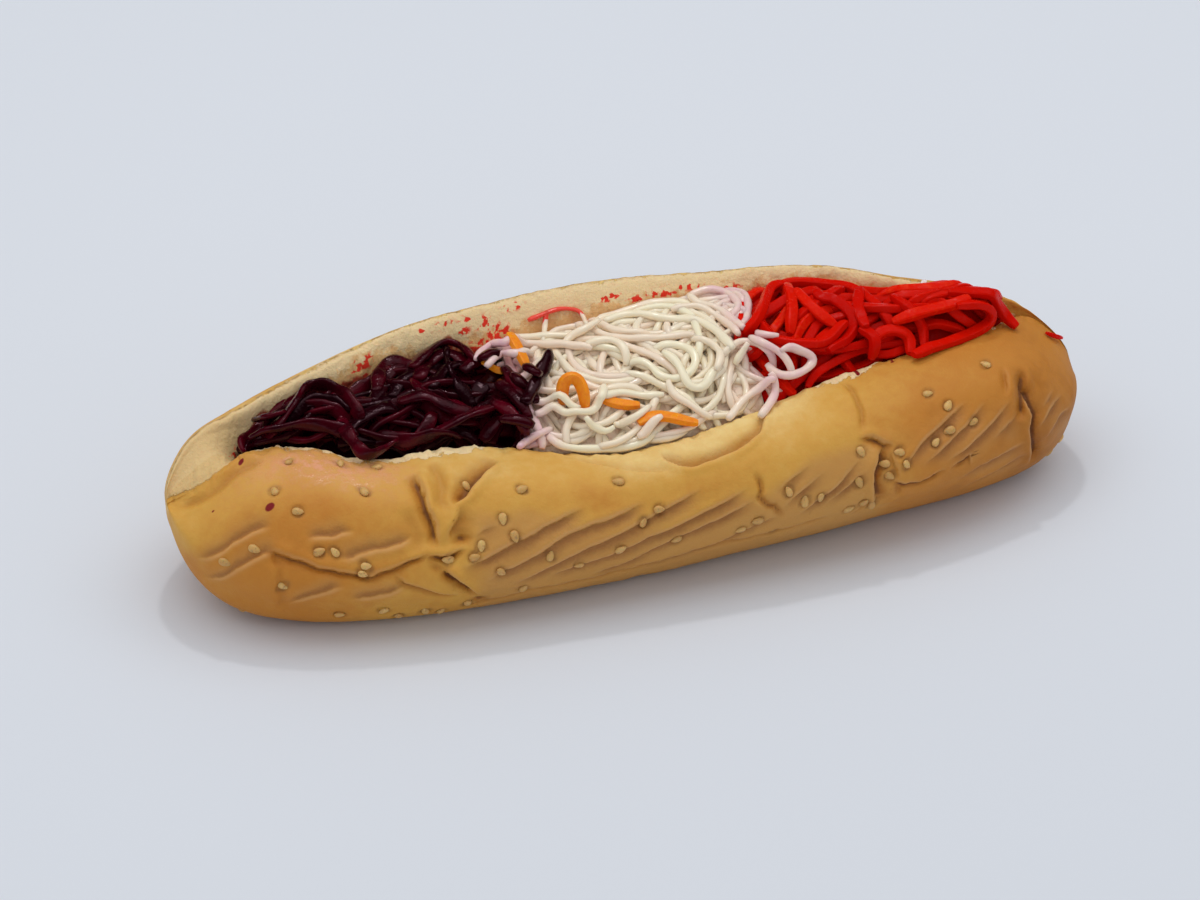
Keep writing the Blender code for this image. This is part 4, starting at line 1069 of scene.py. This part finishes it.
def held_down(heights):
    """Heights of shreds' middles, held softly below the top of the whole roll."""
    slowing = cad_high[2] / MM - TOP_ROOM - SOFT_TOP
    over = np.maximum(heights - slowing, 0)
    return np.minimum(heights, slowing) + SOFT_TOP * np.tanh(over / SOFT_TOP) * (over > 0)


def settle(points, stamp, field):
    """Raise the field to the top of a shred that now lies there."""
    fine = np.linspace(0, len(points) - 1, len(points) * 2)
    dense = np.column_stack([np.interp(fine, np.arange(len(points)), points[:, k]) for k in range(3)])
    i, j = cells(dense[:, 0], dense[:, 1])
    for di, dj, lift in stamp:
        under = (np.clip(i + di, 0, field_shape[0] - 1), np.clip(j + dj, 0, field_shape[1] - 1))
        np.maximum.at(field, under, dense[:, 2] + lift)


def sweep(rng, points, kind):
    """Skin of one shred: its section carried along its way, thinner at its cut ends. One that stands
    up turns its flat side to the front."""
    width, thickness = kind["width"] * rng.uniform(*SHRED_WIDTHS), kind["thickness"]
    twist = rng.uniform(-1, 1) * kind["twist"]
    count = len(points)
    along = np.gradient(points, axis=0)
    along /= np.linalg.norm(along, axis=1, keepdims=True)
    side = np.cross((0, 0, 1), along[0])
    if abs(points[-1, 2] - points[0, 2]) > 0.4 * np.linalg.norm(points[-1] - points[0]):
        side = np.array((1.0, 0.0, 0.0))
    turn = np.arange(kind["corners"]) * math.tau / kind["corners"]
    across = np.sign(np.cos(turn)) * abs(np.cos(turn)) ** (2 / kind["square"])
    upward = np.sign(np.sin(turn)) * abs(np.sin(turn)) ** (2 / kind["square"])
    phase, pace = rng.uniform(0, 50), rng.uniform(0.12, 0.2)
    step = np.linalg.norm(np.diff(points, axis=0), axis=1).mean()
    rings = []
    angle = rng.uniform(-0.3, 0.3)
    for k in range(count):
        side = side - along[k] * (side @ along[k])
        side /= np.linalg.norm(side)
        up = np.cross(along[k], side)
        angle += twist * step
        from_end = min(k, count - 1 - k) * step
        full = SHRED_TIP + (1 - SHRED_TIP) * min(1.0, from_end / (1.2 * width))
        full *= 1 + (kind["uneven"] * math.sin(phase + pace * k * step * 4)
                     * math.sin(1.7 * pace * k * step + phase))
        if k in (0, count - 1):
            full *= 0.8
        wide = side * math.cos(angle) + up * math.sin(angle)
        high = up * math.cos(angle) - side * math.sin(angle)
        rings.append(points[k] + full * (across[:, None] * wide * width / 2
                                         + upward[:, None] * high * thickness / 2))
    return loft(np.array(rings)[:, ::-1])


def on_heap(pixel, rest):
    """Where the sight through a pixel of the view meets a shred's resting middle, with the pixel's
    own height above the heap as a fourth value."""
    px, py, lift = (*pixel, 0.0)[:3]
    right = np.array((math.cos(VIEW_SWING), math.sin(VIEW_SWING), 0.0))
    up = np.cross(to_camera, right)
    wide, tall = VIEW_PIXELS
    focus = LENS / SENSOR * wide
    sight = right * (px - wide / 2) / focus - up * (py - tall / 2) / focus - to_camera
    eye = np.array(VIEW_CENTRE) + to_camera * VIEW_DISTANCE
    heights = np.arange(*SIGHT_HEIGHTS)
    points = eye + sight * ((heights - eye[2]) / sight[2])[:, None]
    over = heights - rest[cells(points[:, 0], points[:, 1])] - lift
    return (*points[np.argmax(over <= max(0, over.min()))], lift)


def seen_shred(route, kind):
    """A shred of a kind laid along a route seen in the view."""
    stamp = footprint(kind["width"], kind["thickness"])
    rest = resting(np.maximum(bread_field, shred_field - kind["sink"]), stamp)
    knots = np.array([on_heap(pixel, rest) for pixel in route])
    padded = np.concatenate((2 * knots[:1] - knots[1:2], knots, 2 * knots[-1:] - knots[-2:-1]))
    points = []
    for a, b, c, d in zip(padded, padded[1:], padded[2:], padded[3:]):
        steps = max(2, round(np.linalg.norm(c - b)))
        points += [through(a, b, c, d, t) for t in np.arange(0, 1, 1 / steps)]
    points = np.array(points + [knots[-1]])
    low = rest[cells(points[:, 0], points[:, 1])]
    points[:, 2] = np.maximum(points[:, 2], np.where(points[:, 3] > KEPT_LIFT, points[:, 2], low))
    for _ in range(4):
        points[1:-1, :3] = (points[:-2, :3] + 2 * points[1:-1, :3] + points[2:, :3]) / 4
    points[:, 2] = held_down(points[:, 2])
    settle(points[:, :3], stamp, shred_field)
    return points[:, :3], kind


def ground(x_from, x_to, y_over, top):
    """Where a heap's shreds may lie, as the height that their middles may reach at each cell."""
    x = (np.arange(field_shape[0]) * CELL - FIELD_X)[:, None]
    y = (np.arange(field_shape[1]) * CELL - FIELD_Y)[None]
    limit = fill_height(x + 0 * y, y + 0 * x) + top
    between_ends = (x > x_from) & (x < x_to)
    between_rims = (y > smooth_curve(FRONT_RIM_Y, x) + y_over) & (y < smooth_curve(BACK_RIM_Y, x) - 0.5)
    return np.where(between_ends & between_rims, limit, NO_ROOM)


def heap_shreds(rng, limit, kind, number):
    """Points and kinds of shreds laid one by one, each where the heap is lowest."""
    stamp = footprint(kind["width"], kind["thickness"])
    inside = np.argwhere(limit > NO_ROOM)
    laid = []
    for _ in range(number):
        rest = resting(np.maximum(bread_field + 0.1, shred_field - kind["sink"]), stamp)
        room = limit - rest
        best, best_score = None, -1e9
        for _ in range(kind["tries"]):
            picks = [inside[rng.randrange(len(inside))] for _ in range(START_PICKS)]
            i, j = max(picks, key=lambda pick: room[pick[0], pick[1]])
            start = (i * CELL - FIELD_X, j * CELL - FIELD_Y)
            heading = rng.gauss(0, kind["spread"]) + (math.pi if rng.random() < 0.5 else 0)
            length = kind["length"] * rng.uniform(*SHRED_LENGTHS)
            way = wander(rng, room, start, heading, length, rng.choice(kind["curls"]))
            if way is None:
                continue
            score = room[cells(way[:, 0], way[:, 1])].mean()
            if score > best_score:
                best, best_score = way, score
        if best is None:
            continue
        points = dive(np.column_stack((best, held_down(drape(best, rest, kind["slack"])))))
        settle(points, stamp, shred_field)
        laid.append((points, kind))
    return laid


def core_piece(name, x_from, x_to, depth):
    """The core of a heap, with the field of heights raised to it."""
    rings = core_rings(x_from, x_to, depth)
    np.maximum(shred_field, field_of(rings), out=shred_field)
    return add_piece(name, *loft(rings))


def shred_piece(name, rng, laid, tint=None):
    """One piece of many shreds, each marked with its tone, and with its tint where it has one."""
    skins, tones = [], []
    for points, kind in laid:
        skins.append(sweep(rng, points, kind))
        tones.append(np.full(len(skins[-1][0]), rng.random()))
    vertices, faces = join(skins)
    marks = {"tone": np.concatenate(tones)}
    if tint:
        marks["tint"] = tint(vertices)
    return add_piece(name, vertices, faces, marks)


field_shape = (round(2 * FIELD_X / CELL) + 1, round(2 * FIELD_Y / CELL) + 1)
bread_field = field_of(grid)
shred_field = np.full(field_shape, NOTHING)

# A kind of shred: the width and thickness of its section, its number of corners and how square it
# is; its length, the sharpest bend that each may take in radians a millimetre, and how far it
# spreads from the slit's direction; how far it sinks into those below, how stiffly it bridges the
# dips, and how many ways are tried for each; how much it twists and how uneven it is.
BEET_STRIP = {"width": 3.8, "thickness": 1.7, "length": 40, "curls": (0.05, 0.09, 0.14), "spread": 0.8,
              "sink": 1.1, "slack": 8, "tries": 14, "corners": 12, "square": 2.6, "twist": 0.09,
              "uneven": 0.22}
BEET_TOP = {**BEET_STRIP, "width": 4.4, "length": 34, "slack": 14, "twist": 0.12}
rng = random.Random(BEET_SETTING)
beet_core = core_piece("beet_core", BEET_FROM, BEET_TO, CORE_DEPTH)
low_ground = ground(BEET_FROM, BEET_TO, 0.5, HEAP_OVER - 1)
beet_laid = heap_shreds(rng, low_ground, BEET_STRIP, BEET_STRIPS)
loose_ground = ground(BEET_FROM + 6, BEET_TO - 1, 3, HEAP_OVER + 0.8)
beet_laid += heap_shreds(rng, loose_ground, BEET_TOP, BEET_LOOSE)
beet_laid += [seen_shred(route, BEET_STRIP) for route in BEET_SEEN]
beet = shred_piece("beet_strips", rng, beet_laid)

BEET_DARK = (0.010, 0.0004, 0.002)
BEET_PURPLE = (0.092, 0.0010, 0.007)
finish = Finish("beet", specular_ior_level=0.32, specular_tint=(1.0, 0.6, 0.70, 1.0))
juicy = finish.mark("tone").maths("POWER", 1.3) * finish.grain(6.0, 3.0).spread(0.35, 0.65, 0.25, 1.0)
finish.show("Base Color", juicy.blend(BEET_DARK, BEET_PURPLE))
finish.show("Roughness", finish.grain(1.0).between(0.08, 0.20))
finish.bump(finish.grain(1.6, 4.0, 0.65) + finish.grain(0.5) * 0.35, 0.16)
for piece in (beet_core, beet):
    piece.data.materials.append(finish.material)
    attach(piece, "root")
    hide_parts("beet_heap")


# ---------------------------------------------------------------- red carrot
# Red carrot cut on a shredder into long square shreds about 2.5 mm wide, bright and moist.
# They curve in long arcs, mostly along the slit, and stand up a little at the far end.

RED_FROM, RED_TO = 30.5, 98.0
RED_SHREDS = 64
RED_LOOSE = 8
RED_SETTING = 8
CUT_ANGLE = math.radians(30)     # sharper bends of the skin than this are cut edges
# Shreds that stand out, as pixels of the view, and one thin one at the far end.
RED_SEEN = (
    ((782, 284), (771, 286, 1), (763, 301, 2), (756, 316, 2), (749, 328, 2), (741, 336, 1)),
    ((787, 284), (792, 295, 1.5), (792, 309, 1.5), (790, 334)),
    ((795, 286), (806, 297, 1), (818, 311, 1), (836, 327)),
    ((816, 275, 5), (822, 287, 3), (833, 294, 1.5), (843, 301, 1), (853, 313, 1), (855, 326),
     (846, 341), (828, 352)),
    ((769, 338), (788, 341, 1), (808, 343, 1), (826, 341), (846, 322)),
    ((737, 371), (743, 362, 0.5), (753, 355, 1), (766, 352, 0.5)),
    ((893, 283, 4), (905, 297, 2), (915, 313, 1.5), (923, 329, 1), (924, 347)),
    ((876, 350), (876, 336, 0.5), (889, 330, 1), (902, 331, 1), (910, 339, 0.5), (910, 354)),
    ((860, 328), (873, 336), (876, 349), (871, 359)),
    ((949, 278, 3), (957, 275, 4), (970, 278, 4), (989, 288, 3), (996, 302, 2), (1007, 318, 1),
     (1017, 327)),
    ((970, 289, 3), (957, 300, 2), (939, 306, 1), (915, 311), (893, 322)),
    ((957, 300, 1), (975, 302, 2), (991, 310, 1.5), (991, 320, 1), (981, 329), (955, 340), (928, 349),
     (913, 357)),
    ((860, 284, 1), (858, 302, 1), (861, 315), (866, 326)))
RED_END = ((1046, 333), (1054, 336, 0.5), (1062, 338, 0.5))
RED_SHRED = {"width": 2.5, "thickness": 2.2, "length": 64, "curls": (0.02, 0.04, 0.07), "spread": 0.8,
             "sink": 0.5, "slack": 20, "tries": 14, "corners": 12, "square": 3.6, "twist": 0.04,
             "uneven": 0.05}
RED_TOP = {**RED_SHRED, "width": 2.8, "length": 50, "slack": 30}
RED_THIN = {**RED_SHRED, "width": 1.3, "thickness": 1.1}
rng = random.Random(RED_SETTING)
red_core = core_piece("red_carrot_core", RED_FROM, RED_TO, CORE_DEPTH)
low_ground = ground(RED_FROM, RED_TO, 0.5, HEAP_OVER - 1.5)
red_laid = heap_shreds(rng, low_ground, RED_SHRED, RED_SHREDS)
loose_ground = ground(RED_FROM + 4, RED_TO - 3, 3, HEAP_OVER + 0.8)
red_laid += heap_shreds(rng, loose_ground, RED_TOP, RED_LOOSE)
red_laid += [seen_shred(route, RED_TOP) for route in RED_SEEN] + [seen_shred(RED_END, RED_THIN)]
red = shred_piece("red_carrot_shreds", rng, red_laid)

# The core has no tone, so it takes the deep red: painted shade in the gaps between the shreds. On the
# shreds the deep red is a tone that differs at random.
RED_BRIGHT = (0.79, 0.009, 0.001)
RED_DEEP_AND_GAP_SHADE = (0.56, 0.0035, 0.0008)
RED_ORANGE = (0.88, 0.045, 0.0015)
finish = Finish("red_carrot", specular_ior_level=0.06, subsurface_weight=0.15, subsurface_scale=0.0012,
                subsurface_radius=(1.0, 0.05, 0.02))
fibre = finish.grain(1.2, 3.0, 0.6)
fresh = finish.mark("tone").blend(RED_DEEP_AND_GAP_SHADE, RED_BRIGHT)
warm = finish.mark("tone").spread(0.6, 1.0) * fibre.spread(0.4, 0.75, 0.0, 0.7)
finish.show("Base Color", warm.blend(fresh, RED_ORANGE))
finish.show("Roughness", fibre.between(0.12, 0.30))
finish.bump(fibre, 0.15)
red.data.set_sharp_from_angle(angle=CUT_ANGLE)
for piece in (red_core, red):
    piece.data.materials.append(finish.material)
    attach(piece, "root")
    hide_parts("red_carrot_heap")


# ---------------------------------------------------------------- white radish
# White radish cut on the same shredder into long round noodles about 2 mm thick, moist and slightly
# see-through. They curl tightly, and the juice of the beet and the carrot has tinted their edges.

RADISH_FROM, RADISH_TO = -31.0, 36.0
RADISH_NOODLES = 100
RADISH_LOOSE = 34
RADISH_DEPTH = 1.4           # of its core under the surface
RADISH_SETTING = 1
# Noodles that stand out, as pixels of the view, some with a height above the heap.
RADISH_SEEN = (
    ((689, 291, 2), (700, 302, 1), (712, 306), (725, 314), (744, 327)),
    ((671, 312), (688, 306), (707, 310), (727, 323), (739, 334)),
    ((757, 336), (762, 331, 1.5), (779, 331, 1.5)),
    ((720, 358), (729, 348, 1), (739, 341, 1.5), (753, 341, 1.5), (765, 347, 1.5), (772, 355, 1),
     (774, 369)),
    ((750, 334, 1), (763, 338, 2), (775, 348, 2), (786, 358, 2), (791, 368, 1), (792, 381)),
    ((767, 364, 2), (773, 372, 2), (785, 376, 2.5), (797, 374, 2.5), (808, 368, 2), (814, 360, 2),
     (810, 354, 1.5), (800, 351, 1), (788, 349), (781, 350)),
    ((735, 366), (739, 358), (748, 354)),
    ((604, 321), (621, 315, 0.5), (642, 313, 0.5), (660, 317, 0.5), (682, 320), (703, 323), (720, 334),
     (733, 350)),
    ((564, 344), (572, 335, 1), (582, 330, 1.5), (600, 318, 2)),
    ((585, 346), (598, 340, 0.8), (611, 339, 1), (623, 345, 1), (627, 357, 0.5), (626, 366)),
    ((663, 351, 1), (672, 357, 1), (680, 367, 1), (685, 380), (692, 389), (706, 388), (711, 372, 0.5),
     (722, 366)),
    ((668, 383), (672, 394, 0.5), (688, 403, 0.5), (703, 414), (712, 420)),
    ((603, 397), (621, 392, 0.5), (642, 396, 0.5), (664, 398)),
    ((535, 402, 1), (552, 403, 0.5), (567, 407), (580, 411)),
    ((535, 414, 0.5), (552, 413), (572, 417), (588, 417), (599, 410), (602, 397), (604, 386)),
    ((519, 447), (528, 440, 1), (538, 434, 1), (552, 429)),
    ((615, 434), (621, 425, 0.5), (637, 416, 0.8), (650, 406)),
    ((638, 439), (650, 430, 0.5), (662, 416)),
    ((586, 423), (601, 434), (614, 435)),
    ((476, 358, 1), (483, 350, 1), (492, 344, 1), (506, 342), (526, 344), (542, 345), (558, 344),
     (573, 347), (592, 356)),
    ((486, 367, 1), (492, 359, 1.5), (501, 354, 1.5), (514, 352, 1), (532, 355)),
    ((692, 340), (705, 339, 0.8), (716, 347, 0.8), (721, 358), (716, 370)),
    ((760, 418), (772, 400, 0.5), (776, 388, 0.5), (770, 378)),
    ((728, 420), (745, 398, 0.5), (765, 386, 0.5), (776, 380)))
# Two thin threads of it cling to the far cut face, dyed red, and one stands up at the far rim.
THREADS_SEEN = (((528, 322), (541, 315), (557, 309), (572, 309), (582, 315), (587, 325)),
                ((547, 313), (545, 326), (543, 342)), ((915, 293), (920, 287), (925, 281)))
# Orange carrot strips lie on the heap too, with the noodles that stand out laid over them.
CARROT_STRIP = {"width": 2.8, "thickness": 1.7, "sink": 0.4, "corners": 12, "square": 6.0, "twist": 0.02,
                "uneven": 0.03}
CARROT_SEEN = (
    ((509, 327, 5), (515, 341, 4), (521, 354, 3), (527, 368, 0.5)),
    ((564, 405), (562, 392, 2), (565, 379, 4.5), (572, 375, 5.5), (579, 381, 4.5), (584, 394, 2.5),
     (585, 412)),
    ((600, 401), (617, 404, 0.3), (640, 406)),
    ((638, 424), (654, 416, 0.5), (670, 417, 0.8), (698, 424)),
    ((484, 364), (496, 370), (508, 374)))
# The juice has tinted the noodles left of the first x and right of the second, and the threads.
TINTED_LEFT, TINTED_RIGHT = -18, 24
NOODLE = {"width": 2.0, "thickness": 1.8, "length": 74, "curls": (0.03, 0.06, 0.10, 0.15), "spread": 1.6,
          "sink": 1.2, "slack": 14, "tries": 12, "corners": 8, "square": 2.2, "twist": 0.02,
          "uneven": 0.14}
NOODLE_TOP = {**NOODLE, "width": 2.1, "length": 64, "slack": 24, "corners": 10, "sink": 0.8}
THREAD = {**NOODLE, "width": 1.5, "thickness": 1.0}


def dyed(points):
    """How much the neighbours' juice has tinted a noodle at each point."""
    x, y, z = points.T
    lilac = ease((TINTED_LEFT - x) / 10) + 0.8 * ease((x - TINTED_RIGHT) / 8) + 0.4 * ease((y - 22) / 5)
    on_face = (z > 40) & (y > 25.5) & (x < 1) & (x > -22)
    return np.clip(lilac, 0, 1) + 1.5 * on_face


rng = random.Random(RADISH_SETTING)
radish_core = core_piece("radish_core", BEET_TO + 0.6, RED_FROM - 0.6, RADISH_DEPTH)
low_ground = ground(RADISH_FROM, RADISH_TO, 0, HEAP_OVER - 0.6)
radish_laid = heap_shreds(rng, low_ground, NOODLE, RADISH_NOODLES)
loose_ground = ground(RADISH_FROM + 3, RADISH_TO - 3, 1.5, HEAP_OVER + 0.2)
radish_laid += heap_shreds(rng, loose_ground, NOODLE_TOP, RADISH_LOOSE)
carrot_laid = [seen_shred(route, CARROT_STRIP) for route in CARROT_SEEN]
radish_laid += [seen_shred(route, NOODLE_TOP) for route in RADISH_SEEN]
radish_laid += [seen_shred(route, THREAD) for route in THREADS_SEEN]
radish = shred_piece("radish_noodles", rng, radish_laid, dyed)

RADISH_WHITE = (0.98, 0.87, 0.63)
RADISH_CLEAR = (0.96, 0.76, 0.60)
RADISH_LILAC = (0.82, 0.50, 0.56)
THREAD_RED = (0.88, 0.07, 0.045)
# The packed core seen in the gaps between noodles is painted in shade and light: painted shade on darker
# pinker noodles, painted light on paler ones.
PACKED_SHADE = (0.88, 0.66, 0.52)
PACKED_LIGHT = (0.97, 0.84, 0.67)
finish = Finish("radish", specular_ior_level=0.6, subsurface_weight=0.35, subsurface_scale=0.001,
                subsurface_radius=(0.8, 0.9, 1.0))
clouded = finish.grain(3.0, 3.0)
noodle_colour = finish.mark("tone").blend(RADISH_WHITE, RADISH_CLEAR)
noodle_colour = (finish.mark("tint") * clouded.between(0.45, 0.95)).blend(noodle_colour, RADISH_LILAC)
finish.show("Base Color", finish.mark("tint").spread(1.2, 1.5).blend(noodle_colour, THREAD_RED))
finish.show("Roughness", clouded.between(0.12, 0.26))
finish.bump(finish.grain(0.9), 0.06)
radish.data.materials.append(finish.material)
packed = Finish("packed_radish", roughness=0.4)
tangle = packed.grain(2.2, 3.0)
packed.show("Base Color", tangle.between(0.0, 1.0).blend(PACKED_SHADE, PACKED_LIGHT))
packed.bump(tangle, 1.2)
radish_core.data.materials.append(packed.material)
for piece in (radish_core, radish):
    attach(piece, "root")
    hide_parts("radish_heap")


# ---------------------------------------------------------------- beet strips over the radish
# A few thin beet strips have slipped over the radish's left edge and lie on its noodles.
# They are of the beet heap and finished like it.

BEET_OVER = (
    ((504, 368), (513, 382), (520, 396), (523, 412)), ((498, 384), (510, 392), (521, 404), (530, 420)),
    ((492, 402), (508, 410), (519, 422), (527, 436)), ((512, 374), (522, 384), (531, 392), (536, 402)),
    ((500, 424), (512, 420), (524, 422), (534, 428)),
    ((524, 404), (530, 394, 0.5), (536, 381, 1), (542, 370, 1.8), (548, 360, 2.4), (550, 351, 2.6)),
    ((526, 365, 1.5), (532, 368, 2), (541, 374, 1.5)), ((500, 352, 0.5), (492, 349, 1), (480, 357, 0.5)))
BEET_THIN = {**BEET_STRIP, "width": 3.2, "thickness": 2.2}
over_laid = [seen_shred(route, BEET_THIN) for route in BEET_OVER]
beet_over = shred_piece("beet_strips_over_radish", rng, over_laid)
beet_over.data.materials.append(beet.data.materials[0])
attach(beet_over, "root")
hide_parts("beet_heap")


# ---------------------------------------------------------------- orange carrot
# A few strips of ordinary orange carrot, cut square-edged and about 2.8 mm wide, went into the
# radish. One arches out of the heap, one leans on the far side, the rest lie among the noodles.

CARROT_SETTING = 4
carrot = shred_piece("orange_carrot_strips", random.Random(CARROT_SETTING), carrot_laid)
carrot.data.set_sharp_from_angle(angle=CUT_ANGLE)
CARROT_ORANGE = (0.98, 0.33, 0.010)
CARROT_DEEP = (0.92, 0.24, 0.006)
finish = Finish("orange_carrot", specular_ior_level=0.35, subsurface_weight=0.2, subsurface_scale=0.0012,
                subsurface_radius=(1.0, 0.4, 0.1))
fibre = finish.grain(1.2, 3.0, 0.6)
finish.show("Base Color", fibre.between(0.0, 1.0).blend(CARROT_ORANGE, CARROT_DEEP))
finish.show("Roughness", fibre.between(0.26, 0.42))
finish.bump(fibre, 0.12)
carrot.data.materials.append(finish.material)
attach(carrot, "root")
